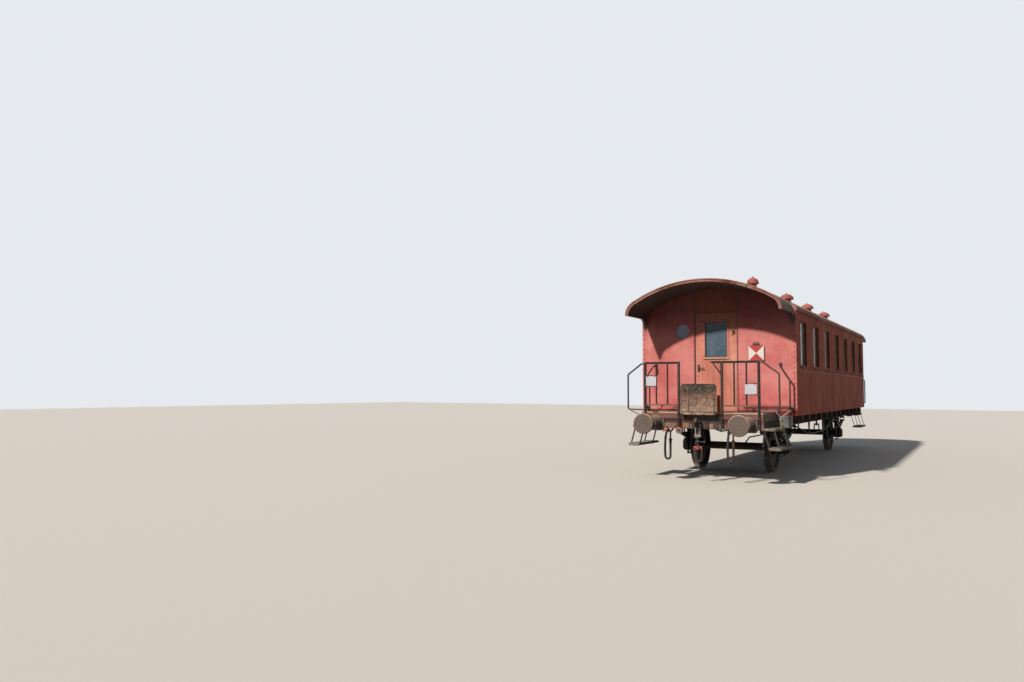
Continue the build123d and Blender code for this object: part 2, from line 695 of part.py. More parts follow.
def railing_half():
    """Right-hand panel of a platform railing, with its posts down to the headstock's foot."""
    y0 = -HEADSTOCK_Y - POST_DEPTH
    y1 = -HEADSTOCK_Y
    foot = HEADSTOCK_BOTTOM
    pieces = []
    for x in (CENTRE_POST_X, CORNER_POST_X):
        pieces.append(block((x - POST / 2, x + POST / 2), (y0, y1), (foot, RAILING_TOP)))
    for z, tall in ((RAILING_TOP - 40.0, 40.0), (RAILING_LOW - 30.0, 30.0)):
        pieces.append(block((CENTRE_POST_X, CORNER_POST_X), (y0, y1), (z, z + tall)))
    pitch = (CORNER_POST_X - CENTRE_POST_X) / (BARS_PER_PANEL + 1)
    mid = (y0 + y1) / 2
    for i in range(BARS_PER_PANEL):
        x = CENTRE_POST_X + (i + 1) * pitch
        pieces.append(block(
            (x - BAR_WIDTH / 2, x + BAR_WIDTH / 2),
            (mid - BAR_DEPTH / 2, mid + BAR_DEPTH / 2),
            (RAILING_LOW, RAILING_TOP - 20.0),
        ))
    wide, tall = CHEEK
    x1 = CENTRE_POST_X - POST / 2
    pieces.append(block((x1 - wide, x1), (mid - 4.0, mid + 4.0), (FLOOR_TOP - 20.0, FLOOR_TOP - 20.0 + tall)))
    return fuse(pieces)


def gate_arm():
    """Overhang of the right-hand top rail beside the gangway, held by a stay from the centre post."""
    y0 = -HEADSTOCK_Y - POST_DEPTH
    y1 = -HEADSTOCK_Y
    root = CENTRE_POST_X - POST / 2
    tip = root - GATE_ARM
    under = RAILING_TOP - 40.0
    foot = under - 1.4 * GATE_ARM
    arm = block((tip, root), (y0, y1), (under, RAILING_TOP))
    stay = outline([(root, foot), (root, foot + 2 * GATE_STAY), (tip + GATE_STAY, under), (tip, under)])
    return fuse([arm, along_y(stay, y0 + 6.0, y1 - 6.0)])


def grab_rails():
    """Bent pipes each side of a platform's steps, near end, right-hand side."""
    r = GRAB_BAR / 2
    y_post = -HEADSTOCK_Y - POST_DEPTH / 2
    x_post = CORNER_POST_X + POST / 2
    low, high = GRAB_LOW, RAILING_TOP - 30.0
    foot_z = low + INNER_GRAB_RISE
    outer = bar([
        (x_post, y_post, high),
        (x_post + 50.0, y_post, high),
        (GRAB_X, y_post, OUTER_GRAB_BEND),
        (GRAB_X, y_post, low),
        (x_post, y_post, low),
    ], r, GRAB_BENDS[0])
    y_wall = -END_WALL_Y
    y_rail = y_wall - GRAB_WALL_STAND
    inner = bar([
        (GRAB_TOP_X, y_wall, INNER_GRAB_TOP),
        (GRAB_TOP_X, y_rail, INNER_GRAB_TOP),
        (GRAB_X, y_rail, INNER_GRAB_BEND),
        (GRAB_X, y_rail, foot_z),
        (GRAB_X, y_wall, foot_z),
    ], r, GRAB_BENDS[1])
    flange = Pos(GRAB_TOP_X, y_wall - 5.0, INNER_GRAB_TOP) * Rot(90, 0, 0) * Cylinder(36.0, 10.0)
    foot = Pos(GRAB_X, y_wall - 5.0, foot_z) * Rot(90, 0, 0) * Cylinder(30.0, 10.0)
    return [outer, fuse([inner, flange, foot])]


def step_hanger():
    """The V bar between the two grab rails and the flat that carries the upper step."""
    y0 = -HEADSTOCK_Y - POST_DEPTH / 2
    y1 = -END_WALL_Y - GRAB_WALL_STAND
    y_mid = (y0 + y1) / 2
    x = UPPER_STEP[1] + 12.0
    z_mid = over_rail(1175.0)
    r = 9.0
    z_top = GRAB_LOW - GRAB_BAR / 2 - r - SEAT_GAP
    v = bar([
        (GRAB_X - GRAB_BENDS[0] - 8.0, y0, z_top),
        (x, y_mid, z_mid),
        (GRAB_X, y1 + GRAB_BENDS[1] + 8.0, z_top + INNER_GRAB_RISE),
    ], r, 40.0)
    flat = block((x - 6.0, x + 6.0), (y_mid - 26.0, y_mid + 26.0), (UPPER_STEP[3], z_mid + 8.0))
    return v + flat


def steps():
    """Two boards and their strap hangers, near end, right-hand side."""
    pieces = []
    boards = []
    for x0, x1, long, z in (UPPER_STEP, LOWER_STEP):
        y0 = -HEADSTOCK_Y
        boards.append(block((x0, x1), (y0, y0 + long), (z, z + STEP_THICK)))
    wide, thick = STEP_STRAP
    ux0, ux1, ulong, uz = UPPER_STEP
    lx0, lx1, llong, lz = LOWER_STEP
    bend = 30.0
    x_sill = HEADSTOCK_HALF + thick / 2
    for y in (-HEADSTOCK_Y + 60.0, -HEADSTOCK_Y + ulong - 60.0):
        inner = strap([
            (x_sill, y, FRAME_TOP),
            (x_sill, y, uz - 40.0),
            (lx0 + 20.0, y, lz - thick / 2),
            (lx1 - 10.0, y, lz - thick / 2),
        ], wide, thick, bend)
        outer = strap([
            (ux0 - 8.0, y, uz - thick / 2),
            (ux1 - 25.0, y, uz - thick / 2),
            (lx1 - 25.0, y, lz),
        ], wide, thick, bend)
        pieces.extend([inner, outer])
    return fuse(boards + pieces)


def fall_plate():
    """Hinged bridging plate, stored upright in front of the railing."""
    y_pin = -HEADSTOCK_Y - FALL_PLATE_STAND
    z_pin = FALL_PIN_HEIGHT
    half = FALL_PLATE_WIDTH / 2
    pin_half = FALL_LUG_X + FALL_LUG_THICK / 2 + 14.0
    pin = Pos(0, y_pin, z_pin) * Rot(0, 90, 0) * Cylinder(FALL_PIN_RADIUS, 2 * pin_half)
    knuckle_half = FALL_LUG_X - FALL_LUG_THICK / 2 - 6.0
    knuckle = Pos(0, y_pin, z_pin) * Rot(0, 90, 0) * Cylinder(FALL_EYE_RADIUS - 5.0, 2 * knuckle_half)
    z0 = z_pin + FALL_EYE_RADIUS + 8.0
    z1 = z_pin + FALL_PLATE_HEIGHT
    y_face = y_pin - FALL_PLATE_THICK / 2
    corner = 40.0
    sheet = Plane.XZ.offset(-(y_face + FALL_PLATE_THICK)) * outline([
        (-half, z0), (half, z0), (half - 12.0, z1 - corner), (half - 12.0 - corner, z1),
        (-half + 12.0 + corner, z1), (-half + 12.0, z1 - corner),
    ])
    sheet = extrude(sheet, amount=FALL_PLATE_THICK, dir=(0, -1, 0))
    neck = block((-knuckle_half, knuckle_half), (y_face, y_face + FALL_PLATE_THICK), (z_pin, z0 + 4.0))
    ribs = []
    for x in (-half * 0.72, 0.0, half * 0.72):
        ribs.append(block((x - 5.0, x + 5.0), (y_face + FALL_PLATE_THICK, y_face + FALL_PLATE_THICK + 32.0),
                          (z0 + 20.0, z1 - 60.0)))
    return fuse([sheet, neck, knuckle, pin] + ribs)


def buffer_housing():
    """Base plate and tapered barrel on the headstock, near end, right-hand side."""
    y0 = -HEADSTOCK_Y
    side = BUFFER_BASE / 2
    base_face = Pos(BUFFER_X, BUFFER_HEIGHT - 15.0) * RectangleRounded(2 * side, 2 * side - 60.0, 40.0)
    base = along_y(base_face, y0 - 22.0, y0)
    length = BARREL_LENGTH
    barrel = make_face(Polyline(
        (PLUNGER_RADIUS + SEAT_GAP, 20.0),
        (BARREL_RADIUS + 22.0, 20.0),
        (BARREL_RADIUS + 6.0, 60.0),
        (BARREL_RADIUS - 8.0, length - 40.0),
        (BARREL_RADIUS, length - 40.0),
        (BARREL_RADIUS, length),
        (PLUNGER_RADIUS + SEAT_GAP, length),
        close=True,
    ))
    barrel = revolve(barrel, axis=Axis.Y, revolution_arc=360)
    barrel = Pos(BUFFER_X, y0, BUFFER_HEIGHT) * Rot(180, 0, 0) * barrel
    return base + barrel


def buffer_head():
    """Plunger and round head, its face at the coach's end."""
    reach = BUFFER_REACH
    r = BUFFER_HEAD_RADIUS
    t = BUFFER_HEAD_THICK
    start = 30.0
    profile = make_face([
        Line((0, start), (PLUNGER_RADIUS, start)),
        Line((PLUNGER_RADIUS, start), (PLUNGER_RADIUS, reach - 110.0)),
        ThreePointArc((PLUNGER_RADIUS, reach - 110.0), (PLUNGER_RADIUS + 22.0, reach - 62.0),
                      (r - 30.0, reach - t)),
        Line((r - 30.0, reach - t), (r, reach - t + 6.0)),
        Line((r, reach - t + 6.0), (r, reach - 10.0)),
        Line((r, reach - 10.0), (r - 14.0, reach)),
        Line((r - 14.0, reach), (0, reach)),
        Line((0, reach), (0, start)),
    ])
    head = revolve(profile, axis=Axis.Y, revolution_arc=360)
    return Pos(BUFFER_X, -HEADSTOCK_Y, BUFFER_HEIGHT) * Rot(180, 0, 0) * head


def draw_hook():
    """Forged hook on the headstock's centre, drawn back from its tip."""
    root = HOOK_REACH - 16.0
    hook = make_face([
        Line((root, -30.0), (root, 30.0)),
        Line((root, 30.0), (190.0, 34.0)),
        ThreePointArc((190.0, 34.0), (140.0, 8.0), (85.0, 30.0)),
        Line((85.0, 30.0), (60.0, 95.0)),
        ThreePointArc((60.0, 95.0), (32.0, 108.0), (14.0, 84.0)),
        ThreePointArc((14.0, 84.0), (0.0, -10.0), (60.0, -66.0)),
        ThreePointArc((60.0, -66.0), (140.0, -76.0), (210.0, -40.0)),
        Line((210.0, -40.0), (root, -30.0)),
    ])
    solid = extrude(Plane.YZ.offset(-HOOK_THICK / 2) * hook, amount=HOOK_THICK, dir=(1, 0, 0))
    pin_y, pin_z = HOOK_PIN_PLACE
    solid -= Pos(0, pin_y, pin_z) * Rot(0, 90, 0) * Cylinder(LINK_PIN_RADIUS + SEAT_GAP, 2 * HOOK_THICK)
    return Pos(0, -HEADSTOCK_Y - HOOK_REACH, BUFFER_HEIGHT) * solid


def coupling():
    """Screw coupling hanging straight down from the hook's pin."""
    y = -HEADSTOCK_Y - HOOK_REACH + HOOK_PIN_PLACE[0]
    z = BUFFER_HEIGHT + HOOK_PIN_PLACE[1]
    x_link = HOOK_THICK / 2 + 16.0
    nut_z = z - 190.0
    low_nut_z = nut_z - 210.0
    pieces = [Pos(0, y, z) * Rot(0, 90, 0) * Cylinder(LINK_PIN_RADIUS, 2 * x_link + 30.0)]
    for side in (-1, 1):
        x = side * x_link
        slab = Pos(x, y, (z + nut_z) / 2) * Rot(0, 90, 0) * Box(z - nut_z, 52.0, 20.0)
        ends = [Pos(x, y, level) * Rot(0, 90, 0) * Cylinder(34.0, 22.0) for level in (z, nut_z)]
        pieces.extend([slab] + ends)
    pieces.append(Pos(0, y, nut_z) * Rot(0, 90, 0) * Cylinder(24.0, 2 * x_link + 46.0))
    pieces.append(Pos(0, y, (nut_z + low_nut_z) / 2) * Cylinder(21.0, nut_z - low_nut_z + 90.0))
    pieces.append(Pos(0, y, low_nut_z) * Rot(0, 90, 0) * Cylinder(26.0, 150.0))
    pieces.append(Pos(0, y, nut_z) * Box(60.0, 64.0, 60.0))
    pieces.append(Pos(0, y, low_nut_z) * Box(64.0, 60.0, 58.0))
    mid_z = (nut_z + low_nut_z) / 2
    pieces.append(Pos(60.0, y, mid_z) * Rot(0, 90, 0) * Cylinder(10.0, 120.0))
    pieces.append(Pos(122.0, y, mid_z) * Sphere(24.0))
    bow_x = 68.0
    bow = bar([(-bow_x, y, low_nut_z), (-bow_x, y, low_nut_z - 250.0), (bow_x, y, low_nut_z - 250.0),
               (bow_x, y, low_nut_z)], 18.0, 60.0)
    pieces.append(bow)
    return fuse(pieces)


def hose_cock(x):
    """Pipe end under the headstock, bent down to the hose, with its clamp and lever."""
    y0 = -HEADSTOCK_Y
    _, run_out, run_up = HOSE_ROUTE[1]
    end_y = y0 - HOSE_EXIT[0]
    end_z = HEADSTOCK_BOTTOM - HOSE_EXIT[1]
    elbow_z = HEADSTOCK_BOTTOM - HOSE_PIPE_DROP
    elbow_y = end_y + run_out * (HOSE_EXIT[1] - HOSE_PIPE_DROP) / -run_up
    pipe = bar([(x, y0 + 80.0, elbow_z), (x, elbow_y, elbow_z), (x, end_y, end_z)], HOSE_RADIUS + 3.0, 30.0)
    clamp = block((x - 14.0, x + 14.0), (y0 + 4.0, y0 + 64.0), (elbow_z, HEADSTOCK_BOTTOM))
    body = Pos(x, elbow_y + 20.0, elbow_z) * Rot(90, 0, 0) * Cylinder(HOSE_RADIUS + 13.0, 30.0)
    lever = block((x - 6.0, x + 6.0), (elbow_y + 6.0, elbow_y + 14.0), (elbow_z, elbow_z + 96.0))
    return fuse([pipe, clamp, body, lever])


def heating_stub():
    """Flanged end of the heating pipe under the headstock."""
    y0 = -HEADSTOCK_Y
    z = HEADSTOCK_BOTTOM - 34.0
    pipe = Pos(HEATING_X, y0 - 10.0, z) * Rot(90, 0, 0) * Cylinder(24.0, 190.0)
    flange = Pos(HEATING_X, y0 - 99.0, z) * Rot(90, 0, 0) * Cylinder(46.0, 16.0)
    clamp = block((HEATING_X - 14.0, HEATING_X + 14.0), (y0 + 4.0, y0 + 60.0), (z, HEADSTOCK_BOTTOM))
    return fuse([pipe, flange, clamp])


def hose_points(x):
    """Route of a hanging hose, from its cock to its coupling head."""
    y = -HEADSTOCK_Y - HOSE_EXIT[0]
    z = HEADSTOCK_BOTTOM - HOSE_EXIT[1]
    return [(x + side, y - out, z + up) for side, out, up in HOSE_ROUTE]


def hose_radii(points):
    """Largest tangent arc at each corner: 0.45 of the shorter run over the tangent of half the turn."""
    radii = []
    for before, at, after in zip(points, points[1:], points[2:]):
        first = Vector(*at) - Vector(*before)
        second = Vector(*after) - Vector(*at)
        turn = radians(first.get_angle(second))
        radii.append(0.45 * min(first.length, second.length) / tan(turn / 2))
    return radii


def hose(x):
    points = hose_points(x)
    radii = hose_radii(points)
    path = FilletPolyline(*points, radius=radii)
    tube = sweep(Plane(origin=path @ 0, z_dir=path % 0) * Circle(HOSE_RADIUS), path=path)
    share = tube.volume / (path.length * pi * HOSE_RADIUS**2)
    print("hose at", x, "length", round(path.length, 1), "filled", round(share, 4))
    print("bend radii", [round(r) for r in radii])
    return tube


def hose_head(x):
    """Coupling head on the hose's far end, standing upright under its rest."""
    end = hose_points(x)[-1]
    r = HOSE_RADIUS
    tall = HOSE_HEAD_LENGTH
    profile = outline([
        (0, 0), (r, 0), (r + 6.0, 6.0), (r + 6.0, 26.0), (r + 1.0, 34.0),
        (r + 12.0, 48.0), (r + 12.0, 70.0), (r + 2.0, tall), (0, tall),
    ])
    body = revolve(Plane.XZ * profile, axis=Axis.Z, revolution_arc=360)
    horn = block((-9.0, 9.0), (-52.0, 0.0), (50.0, 74.0))
    return Pos(*end) * (body + horn)


def hose_rest(x):
    """Bent plate under the headstock that the coupling head hangs from when the hose isn't in use."""
    x_end, y_end, z_end = hose_points(x)[-1]
    y0 = -HEADSTOCK_Y
    foot = z_end + HOSE_HEAD_LENGTH
    top = HEADSTOCK_BOTTOM
    return along_x([
        (y_end - 14.0, foot),
        (y_end + 14.0, foot),
        (y_end + 14.0, top - 70.0),
        (y0 + 50.0, top - 12.0),
        (y0 + 50.0, top),
        (y0 + 4.0, top),
        (y_end - 14.0, top - 62.0),
    ], x_end - 12.0, x_end + 12.0)


# Signs


def tail_sign():
    """Square sign with a carrying handle, hung on the near end wall."""
    half = TAIL_SIGN / 2
    x, z = TAIL_SIGN_PLACE
    y1 = -END_WALL_Y - TAIL_SIGN_STAND
    face = outline([(x - half, z - half), (x + half, z - half), (x + half, z + half), (x - half, z + half)])
    plate = along_y(face, y1 - TAIL_SIGN_THICK, y1)
    handle = outline([(x - 74.0, z + half), (x + 74.0, z + half), (x + 46.0, z + half + 62.0),
                      (x - 46.0, z + half + 62.0)])
    handle -= outline([(x - 52.0, z + half + 12.0), (x + 52.0, z + half + 12.0), (x + 34.0, z + half + 48.0),
                       (x - 34.0, z + half + 48.0)])
    grip = along_y(handle, y1 - TAIL_SIGN_THICK, y1)
    hook = block((x - 30.0, x + 30.0), (y1, -END_WALL_Y), (z + 40.0, z + 70.0))
    return fuse([plate, grip, hook])


def marker_plates():
    """Two blank plates clamped to the near railing, one each side."""
    pieces = []
    wide, tall = MARKER_PLATE
    y0 = -HEADSTOCK_Y - POST_DEPTH
    for side, x_mid, z_mid in MARKER_PLACES:
        x = side * x_mid
        plate = block((x - wide / 2, x + wide / 2), (y0 - 9.0, y0 - 6.0),
                      (z_mid - tall / 2, z_mid + tall / 2))
        outer = side * (CORNER_POST_X + POST / 2)
        span = sorted((x - side * wide / 2, outer))
        clamps = [block(span, (y0 - 6.0, y0), (z - 11.0, z + 11.0))
                  for z in (z_mid - tall / 2 - 4.0, z_mid + tall / 2 + 4.0)]
        pieces.append(fuse([plate] + clamps))
    return pieces


# Running gear


def wheel():
    """Right-hand wheel: hub, dished web, rim and flange, at the near axle."""
    back = BACK_TO_BACK / 2
    front = back + RIM_WIDTH
    bore = WHEEL_SEAT_RADIUS
    tread = TREAD_RADIUS
    rim = tread - 68.0
    root = back + 34.0
    crest = tread + FLANGE_DEPTH
    profile = make_face([
        Line((back - 12.0, bore), (front + 18.0, bore)),
        Line((front + 18.0, bore), (front + 18.0, bore + 42.0)),
        Line((front + 18.0, bore + 42.0), (back + 98.0, bore + 62.0)),
        Line((back + 98.0, bore + 62.0), (back + 84.0, rim - 22.0)),
        Line((back + 84.0, rim - 22.0), (front - 8.0, rim)),
        Line((front - 8.0, rim), (front, rim + 8.0)),
        Line((front, rim + 8.0), (front, tread - 10.0)),
        Line((front, tread - 10.0), (front - 8.0, tread - 3.0)),
        Line((front - 8.0, tread - 3.0), (root + 8.0, tread)),
        ThreePointArc((root + 8.0, tread), (root - 1.0, tread + 4.0), (root - 6.0, tread + 12.0)),
        ThreePointArc((root - 6.0, tread + 12.0), (back + 15.5, crest), (back + 3.0, tread + 12.0)),
        Line((back + 3.0, tread + 12.0), (back, tread)),
        Line((back, tread), (back, rim)),
        Line((back, rim), (back + 58.0, rim - 22.0)),
        Line((back + 58.0, rim - 22.0), (back + 64.0, bore + 62.0)),
        Line((back + 64.0, bore + 62.0), (back - 12.0, bore + 42.0)),
        Line((back - 12.0, bore + 42.0), (back - 12.0, bore)),
    ])
    body = revolve(profile, axis=Axis.X, revolution_arc=360)
    return Pos(0, AXLE_YS[0], AXLE_HEIGHT) * body


def axle():
    """Axle with its journals, at the near wheels."""
    seat_in = BACK_TO_BACK / 2 - 12.0
    seat_out = BACK_TO_BACK / 2 + RIM_WIDTH + 18.0
    profile = outline([
        (-JOURNAL_END, 0), (JOURNAL_END, 0),
        (JOURNAL_END, JOURNAL_RADIUS),
        (seat_out + 30.0, JOURNAL_RADIUS),
        (seat_out + 22.0, WHEEL_SEAT_RADIUS - 12.0),
        (seat_out, WHEEL_SEAT_RADIUS - 12.0),
        (seat_out, WHEEL_SEAT_RADIUS),
        (seat_in, WHEEL_SEAT_RADIUS),
        (seat_in - 30.0, AXLE_RADIUS),
        (-seat_in + 30.0, AXLE_RADIUS),
        (-seat_in, WHEEL_SEAT_RADIUS),
        (-seat_out, WHEEL_SEAT_RADIUS),
        (-seat_out, WHEEL_SEAT_RADIUS - 12.0),
        (-seat_out - 22.0, WHEEL_SEAT_RADIUS - 12.0),
        (-seat_out - 30.0, JOURNAL_RADIUS),
        (-JOURNAL_END, JOURNAL_RADIUS),
    ])
    body = revolve(profile, axis=Axis.X, revolution_arc=360)
    return Pos(0, AXLE_YS[0], AXLE_HEIGHT) * body


def axle_guard():
    """Plate with the horns that guide one axlebox, behind the solebar's web."""
    x1 = SOLEBAR_WEB_IN
    x0 = x1 - GUARD_THICK
    leg = HORN_GAP / 2 + 85.0
    low = -BOX_BOTTOM - 70.0
    wing = 470.0
    top = FRAME_BOTTOM - AXLE_HEIGHT + 200.0
    under = FRAME_BOTTOM - AXLE_HEIGHT
    plate = outline([
        (-leg, low), (leg, low), (leg, -40.0), (wing, under - 30.0), (wing, top),
        (-wing, top), (-wing, under - 30.0), (-leg, -40.0),
    ])
    slot = Pos(0, (low + 26.0 + 175.0) / 2) * Rectangle(HORN_GAP, 175.0 - low - 26.0)
    plate -= slot
    for side in (-1, 1):
        hole = make_face(Polyline((side * (leg + 5.0), 75.0), (side * (leg + 5.0), under - 60.0),
                                  (side * (wing - 60.0), under - 60.0), close=True))
        plate -= hole
    solid = extrude(Plane.YZ.offset(x0) * plate, amount=GUARD_THICK, dir=(1, 0, 0))
    return Pos(0, AXLE_YS[0], AXLE_HEIGHT) * solid


def axlebox():
    """Cast box round one journal, grooved for the horns, with its front cover."""
    x0, x1 = BOX_X
    half = BOX_WIDTH / 2
    body_face = outline([
        (-half, -BOX_BOTTOM + 40.0), (-half + 40.0, -BOX_BOTTOM), (half - 40.0, -BOX_BOTTOM),
        (half, -BOX_BOTTOM + 40.0), (half, BOX_TOP - 20.0), (half - 20.0, BOX_TOP),
        (-half + 20.0, BOX_TOP), (-half, BOX_TOP - 20.0),
    ])
    body = extrude(Plane.YZ.offset(x0) * body_face, amount=x1 - x0, dir=(1, 0, 0))
    cover_face = Pos(0, -5.0) * RectangleRounded(BOX_WIDTH - 50.0, BOX_TOP + BOX_BOTTOM - 60.0, 60.0)
    body += extrude(Plane.YZ.offset(x1) * cover_face, amount=26.0, dir=(1, 0, 0), taper=12)
    groove_x = (SOLEBAR_WEB_IN - GUARD_THICK - 1.0, SOLEBAR_WEB_IN + 1.0)
    for side in (-1, 1):
        y = sorted((side * (HORN_GAP / 2 - 0.3), side * (half + 10.0)))
        body -= block(groove_x, y, (-BOX_BOTTOM - 10.0, BOX_TOP + 10.0))
    bore_end = JOURNAL_END + 6.0
    bore = Pos((x0 - 10.0 + bore_end) / 2, 0, 0) * Rot(0, 90, 0)
    body -= bore * Cylinder(JOURNAL_RADIUS + SEAT_GAP, bore_end - x0 + 10.0)
    return Pos(0, AXLE_YS[0], AXLE_HEIGHT) * body


def leaf_spring():
    """Laminated spring over one axlebox, with its buckle, shackles and brackets."""
    x0 = SPRING_X - LEAF_WIDTH / 2
    seat = BOX_TOP
    buckle_base = 16.0
    stack = SPRING_LEAVES * LEAF_THICK
    top_mid = seat + buckle_base + stack
    centre_z = top_mid + SPRING_RADIUS
    leaves = []
    for i in range(SPRING_LEAVES):
        half = SPRING_HALF * (1.0 - 0.8 * i / (SPRING_LEAVES - 1))
        r0 = SPRING_RADIUS + i * LEAF_THICK
        r1 = r0 + LEAF_THICK
        lean = half / SPRING_RADIUS
        left_in = (-r0 * sin(lean), centre_z - r0 * cos(lean))
        right_in = (r0 * sin(lean), centre_z - r0 * cos(lean))
        left_out = (-r1 * sin(lean), centre_z - r1 * cos(lean))
        right_out = (r1 * sin(lean), centre_z - r1 * cos(lean))
        face = make_face([
            ThreePointArc(left_in, (0, centre_z - r0), right_in),
            Line(right_in, right_out),
            ThreePointArc(right_out, (0, centre_z - r1), left_out),
            Line(left_out, left_in),
        ])
        leaves.append(extrude(Plane.YZ.offset(x0) * face, amount=LEAF_WIDTH, dir=(1, 0, 0)))
    buckle = block((x0 - 4.0, x0 + LEAF_WIDTH + 4.0), (-52.0, 52.0), (seat, top_mid + 14.0))
    spring = fuse(leaves + [buckle])
    eye_y = SPRING_HALF + 6.0
    eye_z = centre_z - SPRING_RADIUS * cos(SPRING_HALF / SPRING_RADIUS) + 6.0
    frame_z = FRAME_BOTTOM - AXLE_HEIGHT
    pin_z = frame_z - 34.0
    parts = []
    for side in (-1, 1):
        y = side * eye_y
        at = Pos(SPRING_X, y, eye_z) * Rot(0, 90, 0)
        spring = spring + at * Cylinder(26.0, LEAF_WIDTH)
        spring = spring - at * Cylinder(SPRING_PIN_RADIUS, LEAF_WIDTH + 10.0)
        y_pin = y + side * 22.0
        pins = [at * Cylinder(SPRING_PIN_RADIUS, LEAF_WIDTH + 44.0),
                Pos(SPRING_X, y_pin, pin_z) * Rot(0, 90, 0) * Cylinder(SPRING_PIN_RADIUS, LEAF_WIDTH + 44.0)]
        links = []
        for x in (x0 - 13.0, x0 + LEAF_WIDTH + 1.0):
            ends = [(y, eye_z), (y_pin, pin_z)]
            for end_y, end_z in ends:
                links.append(Pos(x + 6.0, end_y, end_z) * Rot(0, 90, 0) * Cylinder(24.0, 12.0))
            run = hypot(y_pin - y, pin_z - eye_z)
            tilt = degrees(atan2(y - y_pin, pin_z - eye_z))
            mid = Pos(x + 6.0, (y + y_pin) / 2, (eye_z + pin_z) / 2)
            links.append(mid * Rot(tilt, 0, 0) * Box(12.0, 40.0, run))
        lug = block((x0, x0 + LEAF_WIDTH - 4.0), (y_pin - 26.0, y_pin + 26.0), (pin_z - 20.0, frame_z))
        parts.append(fuse([lug] + pins + links))
    whole = [spring] + parts
    return [Pos(0, AXLE_YS[0], AXLE_HEIGHT) * piece for piece in whole]


def brake_frame():
    """One brake beam with its blocks, hangers and top shaft, inside the near axle."""
    r0 = TREAD_RADIUS + BLOCK_GAP
    r1 = r0 + BLOCK_THICK
    lean = radians(BLOCK_HALF_ANGLE)
    x_mid = BACK_TO_BACK / 2 + 87.0
    wide = 78.0

    def ring(radius, angle):
        return (radius * cos(angle), radius * sin(angle))

    face = make_face([
        ThreePointArc(ring(r0, -lean), (r0, 0), ring(r0, lean)),
        Line(ring(r0, lean), ring(r1, lean)),
        ThreePointArc(ring(r1, lean), (r1, 0), ring(r1, -lean)),
        Line(ring(r1, -lean), ring(r0, -lean)),
    ])
    shoe = extrude(Plane.YZ.offset(x_mid - wide / 2) * face, amount=wide, dir=(1, 0, 0))
    beam_y = BEAM_OUT
    shaft_z = FRAME_BOTTOM - AXLE_HEIGHT + 60.0
    beam = Pos(0, beam_y, 0) * Rot(0, 90, 0) * Cylinder(BEAM_RADIUS, 2 * x_mid + wide)
    shaft = Pos(0, beam_y + 20.0, shaft_z) * Rot(0, 90, 0) * Cylinder(24.0, 2 * SOLEBAR_WEB_IN)
    hanger = along_x([(beam_y - 28.0, -30.0), (beam_y + 28.0, -30.0), (beam_y + 46.0, shaft_z + 34.0),
                      (beam_y - 6.0, shaft_z + 34.0)], x_mid - 7.0, x_mid + 7.0)
    return fuse([beam, shaft] + both_sides(shoe) + both_sides(hanger))


def brake_gear():
    """Two brake frames at each axle, and the pull rod between the inner beams, which it meets square on."""
    frame = brake_frame()
    twin = Rot(0, 0, 180) * frame
    pieces = [Pos(0, y, AXLE_HEIGHT) * item for y in AXLE_YS for item in (frame, twin)]
    end = WHEELBASE / 2 - BEAM_OUT - BEAM_RADIUS - SEAT_GAP
    rod = [(end, AXLE_HEIGHT), (end - 150.0, AXLE_HEIGHT), (end - 560.0, PULL_ROD_HEIGHT)]
    route = [(0, -y, z) for y, z in rod] + [(0, y, z) for y, z in reversed(rod)]
    return pieces + [bar(route, PULL_ROD_RADIUS, 200.0)]


def air_tanks():
    """Brake cylinder and air reservoir slung between the solebars."""
    pieces = []
    for x, y, radius, length in ((-420.0, 650.0, 190.0, 900.0), (430.0, -620.0, 175.0, 520.0)):
        z = FRAME_TOP - CROSS_MEMBER_DEPTH - 20.0 - radius + 60.0
        drum = Pos(x, y, z) * Rot(90, 0, 0) * Cylinder(radius, length)
        drum = fillet(drum.edges().filter_by(GeomType.CIRCLE), 45.0)
        hung = [drum]
        for dy in (-length * 0.3, length * 0.3):
            hung.append(block((x - radius * 0.7, x + radius * 0.7), (y + dy - 20.0, y + dy + 20.0),
                              (z + radius * 0.6, FRAME_TOP)))
        pieces.append(fuse(hung))
    return pieces


# Inside


def bench_seats():
    pieces = []
    outer = INNER_HALF - 2.0
    z = FLOOR_TOP + SEAT_HEIGHT
    for i in range(WINDOWS - 1):
        y = (i - (WINDOWS - 2) / 2) * WINDOW_PITCH
        for side in (-1, 1):
            near_back = y + side * BACK_THICK / 2
            far = y + side * (BACK_THICK / 2 + SEAT_DEPTH)
            slab = block((BENCH_INNER_X, outer), sorted((near_back, far)), (z - SEAT_THICK, z))
            leg = block((BENCH_INNER_X + 40.0, BENCH_INNER_X + 80.0),
                        sorted((far - side * 60.0, far - side * 20.0)), (FLOOR_TOP, z - SEAT_THICK))
            pieces.extend(both_sides(slab + leg))
    return pieces


def bench_backs():
    pieces = []
    outer = INNER_HALF - 2.0
    for i in range(WINDOWS - 1):
        y = (i - (WINDOWS - 2) / 2) * WINDOW_PITCH
        back = block((BENCH_INNER_X, outer), (y - BACK_THICK / 2, y + BACK_THICK / 2),
                     (FLOOR_TOP, FLOOR_TOP + BACK_HEIGHT))
        pieces.extend(both_sides(back))
    return pieces


